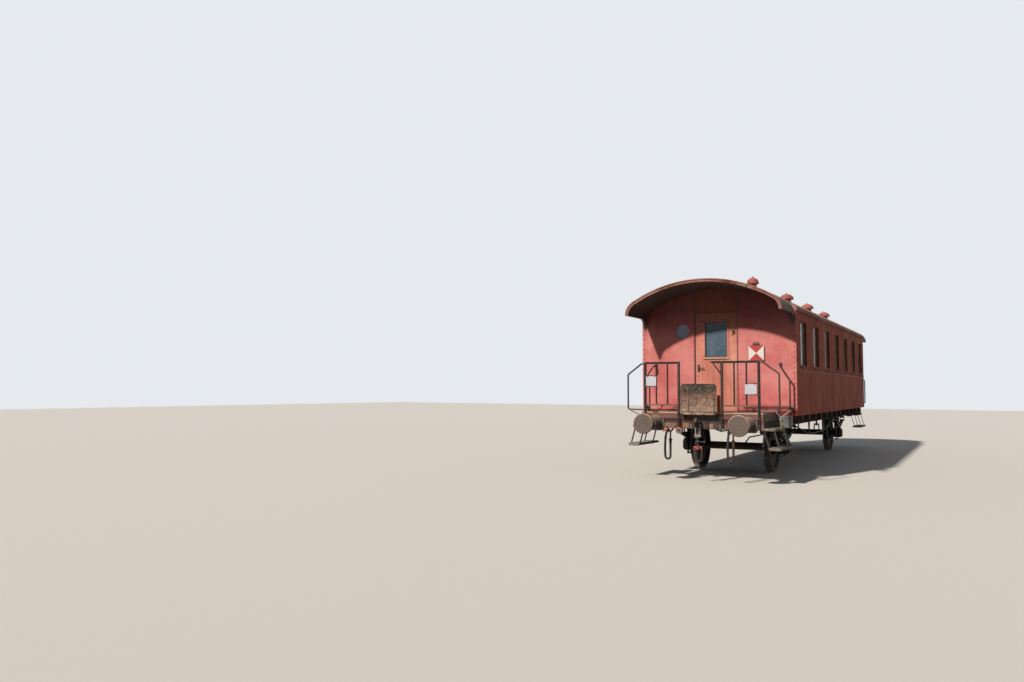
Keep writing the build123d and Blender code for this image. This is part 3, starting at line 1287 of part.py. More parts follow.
def main():
    os.makedirs("parts", exist_ok=True)
    write("solebars", solebars())
    write("headstocks", both_ends(headstock()))
    write("cross_members", cross_members())
    write("body_brackets", body_brackets())
    write("truss_rods", truss_rods())
    write("saloon_floor", [saloon_floor()])
    write("platform_floors", both_ends(platform_floor()))
    right, left = both_sides(side_wall())
    write("side_wall_right", [right])
    write("side_wall_left", [left])
    near, far = both_ends(end_wall())
    write("end_wall_near", [near])
    write("end_wall_far", [far])
    write("window_frames", window_frames())
    write("window_glass", window_glass())
    write("roof", [roof()])
    write("roof_hoods", both_ends(roof_hood()))
    write("roof_vents", roof_vents())
    write("hood_brackets", [b for side in both_sides(hood_bracket()) for b in both_ends(side)])
    panel = railing_half()
    gate_panel = fuse([panel, gate_arm()])
    write("railings", both_ends(gate_panel) + both_ends(mirror(panel, about=Plane.YZ)))
    write("corner_plates", [b for side in both_sides(corner_plate()) for b in both_ends(side)])
    rails = grab_rails()
    write("grab_rails", [b for rail in rails for side in both_sides(rail) for b in both_ends(side)])
    write("step_hangers", [b for side in both_sides(step_hanger()) for b in both_ends(side)])
    write("steps", [b for side in both_sides(steps()) for b in both_ends(side)])
    write("buffer_housings", [b for side in both_sides(buffer_housing()) for b in both_ends(side)])
    write("buffer_heads", [b for side in both_sides(buffer_head()) for b in both_ends(side)])
    write("draw_hooks", both_ends(draw_hook()))
    write("couplings", both_ends(coupling()))
    write("axle_guards", [b for side in both_sides(axle_guard()) for b in both_ends(side)])
    write("axleboxes", [b for side in both_sides(axlebox()) for b in both_ends(side)])
    springs = [b for piece in leaf_spring() for side in both_sides(piece) for b in both_ends(side)]
    write("leaf_springs", springs)
    write("brake_gear", brake_gear())
    write("air_tanks", air_tanks())
    write("bench_seats", bench_seats())
    write("bench_backs", bench_backs())
    wheels = both_sides(wheel())
    shaft = axle()
    turn = Rot(0, 0, 180)
    write("wheels_near", wheels)
    write("axle_near", [shaft])
    write("wheels_far", [turn * item for item in wheels])
    write("axle_far", [turn * shaft])
    handles = door_handle()
    write("tail_sign", [tail_sign()])
    write("marker_plates", marker_plates())
    pipe_ends = [piece(x) for _, x in HOSE_XS for piece in (hose_cock, hose_rest)] + [heating_stub()]
    write("pipe_ends", [b for piece in pipe_ends for b in both_ends(piece)])
    write("hose_heads", [b for _, x in HOSE_XS for b in both_ends(hose_head(x))])
    for end, place in (("near", Rot(0, 0, 0)), ("far", turn)):
        for side, x in HOSE_XS:
            write(f"hose_{side}_{end}", [place * hose(x)])
        write(f"door_{end}", [place * door()])
        write(f"door_glass_{end}", [place * door_glass()])
        write(f"door_handles_{end}", [place * handle for handle in handles])
        write(f"fall_plate_{end}", [place * fall_plate()])


main()
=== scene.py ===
"""Looks of a two axle passenger coach with open end platforms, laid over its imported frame. Metres."""

import bmesh
import bpy
import numpy as np
from mathutils import Matrix, Vector


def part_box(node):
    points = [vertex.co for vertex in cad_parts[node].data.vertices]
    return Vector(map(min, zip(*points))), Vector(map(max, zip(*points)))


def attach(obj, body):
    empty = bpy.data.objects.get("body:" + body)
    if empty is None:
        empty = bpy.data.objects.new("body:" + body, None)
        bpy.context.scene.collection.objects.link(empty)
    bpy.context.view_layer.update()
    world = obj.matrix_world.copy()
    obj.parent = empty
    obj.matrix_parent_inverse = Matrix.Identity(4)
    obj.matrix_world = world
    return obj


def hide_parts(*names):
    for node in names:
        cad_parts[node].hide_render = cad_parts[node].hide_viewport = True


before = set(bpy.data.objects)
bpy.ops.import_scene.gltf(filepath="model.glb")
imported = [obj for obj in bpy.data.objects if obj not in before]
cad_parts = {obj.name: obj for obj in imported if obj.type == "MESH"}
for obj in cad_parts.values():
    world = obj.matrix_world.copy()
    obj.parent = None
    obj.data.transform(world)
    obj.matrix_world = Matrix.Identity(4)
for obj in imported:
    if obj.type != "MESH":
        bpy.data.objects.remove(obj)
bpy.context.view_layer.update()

# Sides and axes of a box
LOW, HIGH = 0, 1
X, Y, Z = 0, 1, 2


def at(node, side, axis):
    """Where a CAD node ends on one side along an axis, to a tenth of a millimetre."""
    return round(float(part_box(node)[side][axis]), 4)


def middle(node, axis):
    """Half way between a CAD node's two sides along an axis."""
    return (at(node, LOW, axis) + at(node, HIGH, axis)) / 2


# Places that the pieces share, from the frame
END_WALL_Y = at("end_wall_far", HIGH, Y)
HEADSTOCK_Y = at("platform_floors", HIGH, Y)
RAILING_Y = at("railings", HIGH, Y)
DOOR_Y = at("door_far", HIGH, Y)
INNER_X = at("saloon_floor", HIGH, X)
INNER_Y = at("saloon_floor", HIGH, Y)
FLOOR_TOP = at("saloon_floor", HIGH, Z)
FRAME_TOP = at("saloon_floor", LOW, Z)
FRAME_BOTTOM = at("headstocks", LOW, Z)
AXLE_Y = middle("axle_far", Y)
AXLE_Z = middle("axle_far", Z)
BUFFER_Z = middle("buffer_heads", Z)
WINDOW_MID_Z = middle("window_frames", Z)
# Places inside a node, which no box gives
BODY_HALF = 1.53
WAIST_Z = 2.107
ROOF_CENTRE_Z = 1.192
ROOF_RADIUS = 2.6
WINDOW_PITCH = 1.36
WINDOW_YS = (np.arange(7) - 3) * WINDOW_PITCH
WINDOW_SIZE = (0.62, 0.86)
BUFFER_X = 0.875
COUPLING_Y = 5.98
FALL_PLATE_Y = 5.929
HEATING_X = -0.385
VENT_X = 0.87
SIGN_CENTRE = (0.795, 0, 2.413)
MARKER_CENTRES = ((-0.955, 1.866), (0.935, 1.718))
HOSES = (("right", 0.54), ("left", -0.64))
# The near end, and the far end turned half round
ENDS = (("near", 1), ("far", -1))
# Ways out of the near end and of the right side
TO_END = (0, -1, 0)
TO_SIDE = (1, 0, 0)


# Surfaces


def points_at(x, y, z):
    """Points from their coordinates, of which any may be one number for all of them."""
    return np.stack(np.broadcast_arrays(x, y, z), -1)


def around(count):
    """So many equal angles round a circle."""
    return np.linspace(0, 2 * np.pi, count, endpoint=False)


def roof_z(x, depth=0):
    """Height of the roof's arc at x, so deep under its skin."""
    return ROOF_CENTRE_Z + np.sqrt((ROOF_RADIUS - depth) ** 2 - x**2)


def on_roof(angle, y, depth=0):
    """Points on the roof's arc at angles from its top, so deep under its skin."""
    radius = ROOF_RADIUS - depth
    return points_at(radius * np.sin(angle), y, ROOF_CENTRE_Z + radius * np.cos(angle))


def placed(patch, place=(0, 0, 0), scale=(1, 1, 1)):
    """The patch scaled about the origin, then moved to its place."""
    verts, faces = patch
    return verts * scale + place, faces


def tube(points):
    """Quads between neighbouring points[u, v], with the last v joined to the first."""
    rows, columns = points.shape[:2]
    u, v = np.meshgrid(np.arange(rows - 1), np.arange(columns), indexing="ij")
    w = (v + 1) % columns
    quads = np.stack([u * columns + v, u * columns + w, (u + 1) * columns + w, (u + 1) * columns + v], -1)
    return points.reshape(-1, 3), quads.reshape(-1, 4).tolist()


def loft(points):
    """Closed solid through the sections points[u, v]: a tube with its first and last sections filled in."""
    verts, faces = tube(points)
    rows, columns = points.shape[:2]
    last = (rows - 1) * columns
    return verts, faces + [list(range(columns)), list(range(last, last + columns))]


def straight(outline, start, stop):
    """Closed solid: an outline of (x, z) points carried straight along the coach from start to stop."""
    x, z = np.asarray(outline, float).T
    return loft(points_at(x, [[start], [stop]], z))


def join(patches):
    """One patch from several: the corner numbers of each are moved on by the corners before it."""
    verts, faces, start = [], [], 0
    for part_verts, part_faces in patches:
        verts.append(part_verts)
        faces.extend([[i + start for i in face] for face in part_faces])
        start += len(part_verts)
    return np.concatenate(verts), faces


def copies(patch, places, normal=(0, 0, 1), spin=0.0):
    """The patch set down at each place, its own Z turned to the normal and itself spun about it."""
    verts, faces = patch
    n = np.asarray(normal, float)
    n = n / np.linalg.norm(n)
    side = np.cross((0, 0, 1) if abs(n[2]) < 0.9 else (0, 1, 0), n)
    side /= np.linalg.norm(side)
    other = np.cross(n, side)
    c, s = np.cos(spin), np.sin(spin)
    basis = np.stack([c * side + s * other, c * other - s * side, n])
    places = np.atleast_2d(places)
    moved = (verts @ basis)[None] + places[:, None]
    offsets = np.arange(len(places)) * len(verts)
    return moved.reshape(-1, 3), [[i + k for i in face] for k in offsets.tolist() for face in faces]


def turned(profile, count):
    """Solid of revolution about Z: each (radius, height) of the profile goes round at equal angles."""
    profile = np.asarray(profile, float)
    angle = around(count)
    r, h = profile[:, :1], profile[:, 1:]
    return loft(points_at(r * np.cos(angle), r * np.sin(angle), h))


def sweep(path, section, up=(0, 0, 1), closed=False):
    """Section (across, up) carried along a path: across is path direction x up, both kept square to the
    path."""
    path, section = np.asarray(path, float), np.asarray(section, float)
    if closed:
        ahead = np.roll(path, -1, 0) - np.roll(path, 1, 0)
    else:
        ahead = np.gradient(path, axis=0)
    ahead /= np.linalg.norm(ahead, axis=1, keepdims=True)
    across = np.cross(ahead, up)
    across /= np.linalg.norm(across, axis=1, keepdims=True)
    rise = np.cross(across, ahead)
    points = path[:, None] + section[None, :, :1] * across[:, None] + section[None, :, 1:] * rise[:, None]
    if not closed:
        return loft(points)
    return tube(np.concatenate([points, points[:1]]))


def ring_section(radius, count):
    """Round section: points at so many equal angles."""
    angle = around(count)
    return np.stack([np.cos(angle), np.sin(angle)], -1) * radius


def box_section(wide, tall, edge):
    """Rectangular section with its corners cut off by the edge."""
    a, b, e = wide / 2, tall / 2, edge
    return [(a, b - e), (a - e, b), (e - a, b), (-a, b - e),
            (-a, e - b), (e - a, -b), (a - e, -b), (a, e - b)]


def bars(low, high, axis, edge=0.002):
    """Bars with broken edges, one for each low and high corner: an eight sided section carried along the
    axis in four steps, the first and the last drawn in by the edge."""
    low, high = np.atleast_2d(low).astype(float), np.atleast_2d(high).astype(float)
    mid, half = (low + high) / 2, (high - low) / 2
    signs = np.array([(1, 1), (1, 1), (-1, 1), (-1, 1), (-1, -1), (-1, -1), (1, -1), (1, -1)])
    cuts = np.array([(0, 1), (1, 0), (1, 0), (0, 1), (0, 1), (1, 0), (1, 0), (0, 1)])
    drawn = np.array([1, 0, 0, 1])[:, None]
    points = np.empty((len(mid), 4, 8, 3))
    for column, i in enumerate([i for i in (X, Y, Z) if i != axis]):
        reach = half[:, i, None, None] - edge * (cuts[:, column] + drawn)
        points[..., i] = mid[:, i, None, None] + signs[:, column] * reach
    step = np.array([-1, -1, 1, 1]) * (half[:, axis, None] - edge * np.array([0, 1, 1, 0]))
    points[..., axis] = (mid[:, axis, None] + step)[:, :, None]
    return join([loft(bar) for bar in points])


def both_sides(patch):
    """The patch and its mirror image across the coach."""
    return join([patch, placed(patch, scale=(-1, 1, 1))])


def both_ends(patch):
    """The patch and its twin at the other end, turned half round."""
    return join([patch, placed(patch, scale=(-1, -1, 1))])


def four_corners(patch):
    """The patch at the coach's four corners."""
    return both_ends(both_sides(patch))


RIVET = turned([(0, 0), (0.011, 0), (0.0105, 0.003), (0.0065, 0.0065), (0, 0.0078)], 8)
BOLT = turned([(0, 0), (0.019, 0), (0.019, 0.0035), (0.014, 0.004), (0.014, 0.013), (0.012, 0.0155),
               (0, 0.0155)], 6)
# Faces meeting at more than this angle show a crease, corners this near are one, and an edge this short goes
CREASE = np.radians(35)
WELD = 2e-6
SHORT = 1e-7


def piece(name, patch, material, body="coach"):
    """One object from a patch: doubles merged, faces turned outwards, riding on its body."""
    verts, faces = patch
    mesh = bpy.data.meshes.new(name)
    mesh.from_pydata(verts.tolist(), [], faces)
    shape = bmesh.new()
    shape.from_mesh(mesh)
    bmesh.ops.remove_doubles(shape, verts=shape.verts, dist=WELD)
    bmesh.ops.dissolve_degenerate(shape, edges=shape.edges, dist=SHORT)
    bmesh.ops.recalc_face_normals(shape, faces=shape.faces)
    shape.to_mesh(mesh)
    shape.free()
    mesh.shade_smooth()
    mesh.set_sharp_from_angle(angle=CREASE)
    mesh.materials.append(material)
    made = bpy.data.objects.new(name, mesh)
    bpy.context.scene.collection.objects.link(made)
    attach(made, body)
    return made


def pieces(*rows):
    """Pieces of the coach's body from rows of (function, material, slot), each named for its function."""
    for build, material, slot in rows:
        piece(build.__name__, build(), material)


# Finishes

# Settings of a Mix node that mixes colours, and the output that gives them. Its input 0 is the share of the
# second colour, 6 and 7 are the two colours
COLOUR = {"data_type": "RGBA", "out": 2}
SMOOTH = {"interpolation_type": "SMOOTHSTEP"}


def linear(colour):
    """sRGB hex to linear RGBA."""
    value = np.array([int(colour[i:i + 2], 16) for i in (1, 3, 5)]) / 255
    value = np.where(value <= 0.04045, value / 12.92, ((value + 0.055) / 1.055) ** 2.4)
    return (*value.tolist(), 1.0)


def add(tree, kind, inputs=None, out=0, **settings):
    """Adds a node with its settings, fills or links its inputs, and gives back one output, or all of them
    for None."""
    made = tree.nodes.new("ShaderNode" + kind)
    for key, value in settings.items():
        setattr(made, key, value)
    for key, value in (inputs or {}).items():
        if isinstance(value, bpy.types.NodeSocket):
            tree.links.new(value, made.inputs[key])
        else:
            made.inputs[key].default_value = value
    return made.outputs if out is None else made.outputs[out]


def finish(name, build, **fixed):
    """New material: build(tree) gives its shader, or the linked inputs of a Principled one, and fixed the
    rest."""
    material = bpy.data.materials.new(name)
    material.use_nodes = True
    tree = material.node_tree
    tree.nodes.clear()
    shader = build(tree)
    if isinstance(shader, dict):
        shader = add(tree, "BsdfPrincipled", {**fixed, **shader})
    add(tree, "OutputMaterial", {"Surface": shader}, out=None)
    return material


def facing_up(tree):
    """How far a face looks up: the upright part of its normal."""
    return add(tree, "SeparateXYZ", {0: add(tree, "NewGeometry", out="Normal")}, out=2)


def dust_and_top_light(tree, colour, share):
    """Pale brown on the faces that look up: dust, and painted light on the tops."""
    looks_up = facing_up(tree)
    up = add(tree, "MapRange", {"Value": looks_up, "From Min": 0.4, "From Max": 0.95, "To Max": share})
    return add(tree, "Mix", {0: up, 6: colour, 7: linear("#A8917F")}, **COLOUR)


def weathered(paint, faded, rust=0.25, wash=0.35, corner_dirt_and_shade=0.5, rough=0.5, ripple=0.0, dust=0.3, zones=(),
              hood_shade_colour=None):
    """Old enamel on steel: bleached in broad patches, washed in vertical streaks, dirty and darkened with
    painted shade in the corners, pale on top with dust and painted light, and broken by rust spots that sit a
    little proud.
    zones are (colour, faded colour, low, high) of boxes painted otherwise. A colour given for the hood comes
    in
    with height under it: painted shade, also standing for paint less bleached there."""

    def build(tree):
        place = add(tree, "TexCoord", out="Object")
        # Broad bleaching about 0.7 m across
        patches = add(tree, "TexNoise", {"Vector": place, "Scale": 1.4, "Detail": 5.0, "Roughness": 0.62})
        bleach = add(tree, "MapRange", {"Value": patches, "From Min": 0.36, "From Max": 0.66}, **SMOOTH)
        colour = add(tree, "Mix", {0: bleach, 6: linear(paint), 7: linear(faded)}, **COLOUR)
        for zone_paint, zone_faded, low, high in zones:
            inside = box_mask(tree, place, low, high)
            zone = add(tree, "Mix", {0: bleach, 6: linear(zone_paint), 7: linear(zone_faded)}, **COLOUR)
            colour = add(tree, "Mix", {0: inside, 6: colour, 7: zone}, **COLOUR)
        # Painted shade under the hood, coming in with height, also standing for paint less bleached there
        if hood_shade_colour:
            height = add(tree, "SeparateXYZ", {0: place}, out=2)
            cover = add(tree, "MapRange", {"Value": height, "From Min": 2.6, "From Max": 3.35,
                                           "To Max": 0.72}, **SMOOTH)
            colour = add(tree, "Mix", {0: cover, 6: colour, 7: linear(hood_shade_colour)}, **COLOUR)
        # Rain streaks about 120 mm wide and over 1 m long, frayed into finer ones
        tall = add(tree, "Mapping", {"Vector": place, "Scale": (8.0, 8.0, 0.8)})
        streaks = add(tree, "TexNoise", {"Vector": tall, "Scale": 1.0, "Detail": 6.0, "Roughness": 0.5,
                                         "Distortion": 0.6})
        runs = add(tree, "MapRange", {"Value": streaks, "From Min": 0.48, "From Max": 0.78, "To Max": wash})
        soot = add(tree, "Mix", {0: 0.72, 6: colour, 7: linear("#2A2220")}, **COLOUR)
        colour = add(tree, "Mix", {0: runs, 6: colour, 7: soot}, **COLOUR)
        # Chalky mottling of 20 mm
        mottle = add(tree, "TexNoise", {"Vector": place, "Scale": 52.0, "Detail": 3.0})
        chalk = add(tree, "MapRange", {"Value": mottle, "From Min": 0.5, "From Max": 0.9, "To Max": 0.25})
        colour = add(tree, "Mix", {0: chalk, 6: colour, 7: linear(faded)}, **COLOUR)
        # Rust breaks through in spots of 5 to 40 mm, gathered in places 0.4 m across
        spots = add(tree, "TexNoise", {"Vector": place, "Scale": 24.0, "Detail": 8.0, "Roughness": 0.7})
        where = add(tree, "TexNoise", {"Vector": place, "Scale": 2.3, "Detail": 2.0})
        both = add(tree, "Math", {0: spots, 1: where}, operation="ADD")
        level = 1.32 - 0.3 * rust
        broken = add(tree, "MapRange", {"Value": both, "From Min": level, "From Max": level + 0.06}, **SMOOTH)
        rusty = add(tree, "Mix", {0: mottle, 6: linear("#3B1E12"), 7: linear("#8A4A26")}, **COLOUR)
        colour = add(tree, "Mix", {0: broken, 6: colour, 7: rusty}, **COLOUR)
        # Pale on the faces that look up: dust, and painted light on the tops
        colour = dust_and_top_light(tree, colour, dust)
        # Dirt, and painted shade, darkening where surfaces meet
        gap = add(tree, "AmbientOcclusion", {"Distance": 0.12}, out="AO", samples=4)
        closed = add(tree, "MapRange", {"Value": gap, "From Min": 0.95, "From Max": 0.35, "To Max": corner_dirt_and_shade})
        dirt_and_shade_tone = add(tree, "Mix", {0: 0.75, 6: colour, 7: linear("#2B2320")}, **COLOUR)
        colour = add(tree, "Mix", {0: closed, 6: colour, 7: dirt_and_shade_tone}, **COLOUR)
        roughness = add(tree, "MapRange", {"Value": broken, "To Min": rough, "To Max": 0.88})
        # Sheet steel is never flat: soft waves of 0.4 m under brush marks and rust
        waves = add(tree, "TexNoise", {"Vector": place, "Scale": 2.6, "Detail": 1.0})
        skin = add(tree, "Math", {0: spots, 1: broken}, operation="MULTIPLY")
        bump = add(tree, "Bump", {"Strength": ripple, "Distance": 0.03, "Height": waves})
        bump = add(tree, "Bump", {"Strength": 0.25, "Distance": 0.002, "Height": mottle, "Normal": bump})
        bump = add(tree, "Bump", {"Strength": 0.7, "Distance": 0.004, "Height": skin, "Normal": bump})
        return {"Base Color": colour, "Roughness": roughness, "Normal": bump}

    return build


def box_mask(tree, place, low, high):
    """One inside the box from low to high, nought outside."""
    parts = add(tree, "VectorMath", {0: place, 1: tuple((np.array(low) + high) / 2)}, operation="SUBTRACT")
    parts = add(tree, "VectorMath", {0: parts}, operation="ABSOLUTE")
    parts = add(tree, "VectorMath", {0: parts, 1: tuple((np.array(high) - low) / 2)}, operation="DIVIDE")
    x, y, z = add(tree, "SeparateXYZ", {0: parts}, out=None)
    most = add(tree, "Math", {0: x, 1: y}, operation="MAXIMUM")
    most = add(tree, "Math", {0: most, 1: z}, operation="MAXIMUM")
    return add(tree, "Math", {0: most, 1: 1.0}, operation="LESS_THAN")


def mask_of(tree, place, boxes):
    """One inside any of the boxes."""
    inside = None
    for low, high in boxes:
        here = box_mask(tree, place, low, high)
        inside = here if inside is None else add(tree, "Math", {0: inside, 1: here}, operation="MAXIMUM")
    return inside


def parted(outside, inside, boxes):
    """Two finishes on one piece: the second inside the boxes, the first elsewhere."""

    def build(tree):
        first, second = outside(tree), inside(tree)
        share = mask_of(tree, add(tree, "TexCoord", out="Object"), boxes)
        plain = {"Metallic": 0.0, "Roughness": 0.85}
        # Kind of value, its two inputs and its output on a Mix node
        kinds = {"Base Color": ("RGBA", 6, 7, 2), "Normal": ("VECTOR", 4, 5, 1)}
        mixed = {}
        for key in {**first, **second}:
            kind, a, b, out = kinds.get(key, ("FLOAT", 2, 3, 0))
            ends = {a: first.get(key, plain.get(key)), b: second.get(key, plain.get(key))}
            mixed[key] = add(tree, "Mix", {0: share, **ends}, out=out, data_type=kind)
        return mixed

    return build


def distance_from(tree, place, centre, across):
    """Distance from the axis through the centre, measured across it, alike at all four corners of the
    coach."""
    gap = add(tree, "VectorMath", {0: place}, operation="ABSOLUTE")
    gap = add(tree, "VectorMath", {0: gap, 1: centre}, operation="SUBTRACT")
    gap = add(tree, "VectorMath", {0: gap, 1: across}, operation="MULTIPLY")
    return add(tree, "VectorMath", {0: gap}, out="Value", operation="LENGTH")


def rolled_wheel(tree):
    """Wheel: tread and flange polished by the rail, a dark hub, and a dished web of brown rust and flung
    oil."""
    worn = bare_iron("#231E1C", "#3E2E27", cover=0.5, rough=0.65, shine=0.25)(tree)
    place = add(tree, "TexCoord", out="Object")
    radius = distance_from(tree, place, (0, AXLE_Y, AXLE_Z), (0, 1, 1))
    polished = add(tree, "MapRange", {"Value": radius, "From Min": 0.4935, "From Max": 0.4965})
    hub = add(tree, "MapRange", {"Value": radius, "From Min": 0.2, "From Max": 0.11})
    colour = add(tree, "Mix", {0: hub, 6: worn["Base Color"], 7: linear("#211C1A")}, **COLOUR)
    colour = add(tree, "Mix", {0: polished, 6: colour, 7: linear("#9A948E")}, **COLOUR)
    roughness = add(tree, "Mix", {0: polished, 2: worn["Roughness"], 3: 0.32}, data_type="FLOAT")
    metallic = add(tree, "Mix", {0: polished, 2: worn["Metallic"], 3: 1.0}, data_type="FLOAT")
    return {"Base Color": colour, "Roughness": roughness, "Metallic": metallic, "Normal": worn["Normal"]}


def buffer_iron(tree):
    """Buffer: grey brown iron with painted shade on the faces that look down, its face scoured in rings 62 mm
    apart, with a chalky pink rim, and pale on top with dust and painted light."""
    worn = bare_iron("#95857C", "#A38C82", cover=0.28, rough=0.62, shine=0.2)(tree)
    place = add(tree, "TexCoord", out="Object")
    radius = distance_from(tree, place, (BUFFER_X, 0, BUFFER_Z), (1, 0, 1))
    turns = add(tree, "Math", {0: radius, 1: 2 * np.pi / 0.062}, operation="MULTIPLY")
    ring = add(tree, "Math", {0: turns}, operation="SINE")
    share = add(tree, "MapRange", {"Value": ring, "From Min": -0.4, "From Max": 1.0, "To Max": 0.34})
    face = mask_of(tree, place, [((-2, 6.43, 0), (2, 7, 2)), ((-2, -7, 0), (2, -6.43, 2))])
    share = add(tree, "Math", {0: share, 1: face}, operation="MULTIPLY")
    rim = add(tree, "MapRange", {"Value": radius, "From Min": 0.14, "From Max": 0.185, "To Max": 0.6})
    colour = add(tree, "Mix", {0: share, 6: worn["Base Color"], 7: linear("#5C4E48")}, **COLOUR)
    colour = add(tree, "Mix", {0: rim, 6: colour, 7: linear("#C0998C")}, **COLOUR)
    # Dust, and painted light, on the faces that look up
    colour = dust_and_top_light(tree, colour, 0.6)
    # Painted shade on the faces that look down
    looks_up = facing_up(tree)
    under = add(tree, "MapRange", {"Value": looks_up, "From Min": 0.35, "From Max": -0.25, "To Max": 0.9})
    colour = add(tree, "Mix", {0: under, 6: colour, 7: linear("#1C1614")}, **COLOUR)
    bump = add(tree, "Bump", {"Strength": 0.4, "Distance": 0.002, "Height": share, "Normal": worn["Normal"]},
               invert=True)
    return {**worn, "Base Color": colour, "Normal": bump}


def bare_iron(dark, rust_colour, cover=0.5, rough=0.6, shine=0.6):
    """Forged or cast iron: oily dark metal under patches of dry rust 110 mm across, with a cast skin whose
    grain is drawn 3 mm wide, coarser than it is, so that it shows."""

    def build(tree):
        place = add(tree, "TexCoord", out="Object")
        patches = add(tree, "TexNoise", {"Vector": place, "Scale": 9.0, "Detail": 7.0, "Roughness": 0.68})
        level = 0.62 - 0.24 * cover
        dry = add(tree, "MapRange", {"Value": patches, "From Min": level, "From Max": level + 0.12}, **SMOOTH)
        grain = add(tree, "TexNoise", {"Vector": place, "Scale": 300.0, "Detail": 2.0})
        rust = add(tree, "Mix", {0: grain, 6: linear(rust_colour), 7: linear("#84583C")}, **COLOUR)
        colour = add(tree, "Mix", {0: dry, 6: linear(dark), 7: rust}, **COLOUR)
        # Dirt, and painted shade, darkening where surfaces meet
        gap = add(tree, "AmbientOcclusion", {"Distance": 0.1}, out="AO", samples=4)
        closed = add(tree, "MapRange", {"Value": gap, "From Min": 0.95, "From Max": 0.3, "To Max": 0.6})
        colour = add(tree, "Mix", {0: closed, 6: colour, 7: linear("#15110F")}, **COLOUR)
        roughness = add(tree, "MapRange", {"Value": dry, "To Min": rough, "To Max": 0.9})
        metallic = add(tree, "MapRange", {"Value": dry, "To Min": shine, "To Max": 0.0})
        bump = add(tree, "Bump", {"Strength": 0.35, "Distance": 0.0015, "Height": grain})
        bump = add(tree, "Bump", {"Strength": 0.5, "Distance": 0.004, "Height": patches, "Normal": bump})
        return {"Base Color": colour, "Roughness": roughness, "Metallic": metallic, "Normal": bump}

    return build


def boards(light, dark, along, width=0.14):
    """Weathered boards: grain 3 mm apart drawn out along one axis, a dark joint at each board's width
    across."""

    def build(tree):
        place = add(tree, "TexCoord", out="Object")
        stretch = [110.0, 110.0, 110.0]
        stretch[along] = 2.5
        fibre = add(tree, "Mapping", {"Vector": place, "Scale": tuple(stretch)})
        grain = add(tree, "TexNoise", {"Vector": fibre, "Scale": 2.0, "Detail": 5.0, "Roughness": 0.6})
        across = add(tree, "SeparateXYZ", {0: place}, out=Y if along == X else X)
        count = add(tree, "Math", {0: across, 1: width}, operation="DIVIDE")
        which = add(tree, "Math", {0: count}, operation="FLOOR")
        tone = add(tree, "TexWhiteNoise", {"W": which}, out="Value", noise_dimensions="1D")
        inside = add(tree, "Math", {0: count}, operation="FRACT")
        edge = add(tree, "Math", {0: inside, 1: 0.5}, operation="SUBTRACT")
        edge = add(tree, "Math", {0: edge}, operation="ABSOLUTE")
        joint = add(tree, "MapRange", {"Value": edge, "From Min": 0.462, "From Max": 0.49})
        shade = add(tree, "MapRange", {"Value": grain, "From Min": 0.3, "From Max": 0.75})
        shade = add(tree, "Math", {0: shade, 1: tone}, operation="MULTIPLY")
        colour = add(tree, "Mix", {0: shade, 6: linear(light), 7: linear(dark)}, **COLOUR)
        colour = add(tree, "Mix", {0: joint, 6: colour, 7: linear("#1B1512")}, **COLOUR)
        bump = add(tree, "Bump", {"Strength": 0.4, "Distance": 0.0015, "Height": grain})
        bump = add(tree, "Bump", {"Strength": 0.8, "Distance": 0.004, "Height": joint, "Normal": bump},
                   invert=True)
        return {"Base Color": colour, "Normal": bump}

    return build


def flaking(tree):
    """Old chequered plate: black and ochre blotches of 90 mm over the upper part, flaked cream with rust
    below, pink between, the border between them ragged. The flakes are 28 mm wide and more worn in patches
    of 140 mm."""
    place = add(tree, "TexCoord", out="Object")
    flakes = add(tree, "TexNoise", {"Vector": place, "Scale": 36.0, "Detail": 10.0, "Roughness": 0.8,
                                    "Distortion": 1.2})
    broad = add(tree, "TexNoise", {"Vector": place, "Scale": 7.0, "Detail": 5.0, "Roughness": 0.65})
    left = add(tree, "Math", {0: broad, 1: 0.5, 2: flakes}, operation="MULTIPLY_ADD")
    paint = add(tree, "MapRange", {"Value": left, "From Min": 0.64, "From Max": 0.73}, **SMOOTH)
    tint = add(tree, "TexNoise", {"Vector": place, "Scale": 11.0, "Detail": 8.0, "Roughness": 0.75})
    shade = add(tree, "MapRange", {"Value": tint, "From Min": 0.38, "From Max": 0.62})
    height = add(tree, "SeparateXYZ", {0: place}, out=2)
    ragged = add(tree, "Math", {0: broad, 1: 0.9, 2: height}, operation="MULTIPLY_ADD")
    upper = add(tree, "MapRange", {"Value": ragged, "From Min": 1.99, "From Max": 2.08, "To Max": 0.95})
    border = add(tree, "MapRange", {"Value": ragged, "From Min": 1.84, "From Max": 2.0, "To Max": 0.6})
    rust = add(tree, "Mix", {0: shade, 6: linear("#241A16"), 7: linear("#6E4C3E")}, **COLOUR)
    cream = add(tree, "Mix", {0: shade, 6: linear("#876D5F"), 7: linear("#B59E88")}, **COLOUR)
    cream = add(tree, "Mix", {0: border, 6: cream, 7: linear("#8C5850")}, **COLOUR)
    black = add(tree, "Mix", {0: shade, 6: linear("#15110F"), 7: linear("#37322C")}, **COLOUR)
    ochre = add(tree, "Mix", {0: shade, 6: linear("#5A5448"), 7: linear("#8E8058")}, **COLOUR)
    blotch = add(tree, "MapRange", {"Value": left, "From Min": 0.74, "From Max": 0.84})
    soot = add(tree, "Mix", {0: blotch, 6: black, 7: ochre}, **COLOUR)
    colour = add(tree, "Mix", {0: paint, 6: rust, 7: cream}, **COLOUR)
    colour = add(tree, "Mix", {0: upper, 6: colour, 7: soot}, **COLOUR)
    roughness = add(tree, "MapRange", {"Value": paint, "To Min": 0.9, "To Max": 0.62})
    flake_height = add(tree, "Math", {0: paint, 1: flakes}, operation="ADD")
    bump = add(tree, "Bump", {"Strength": 0.8, "Distance": 0.004, "Height": flake_height})
    return {"Base Color": colour, "Roughness": roughness, "Normal": bump}


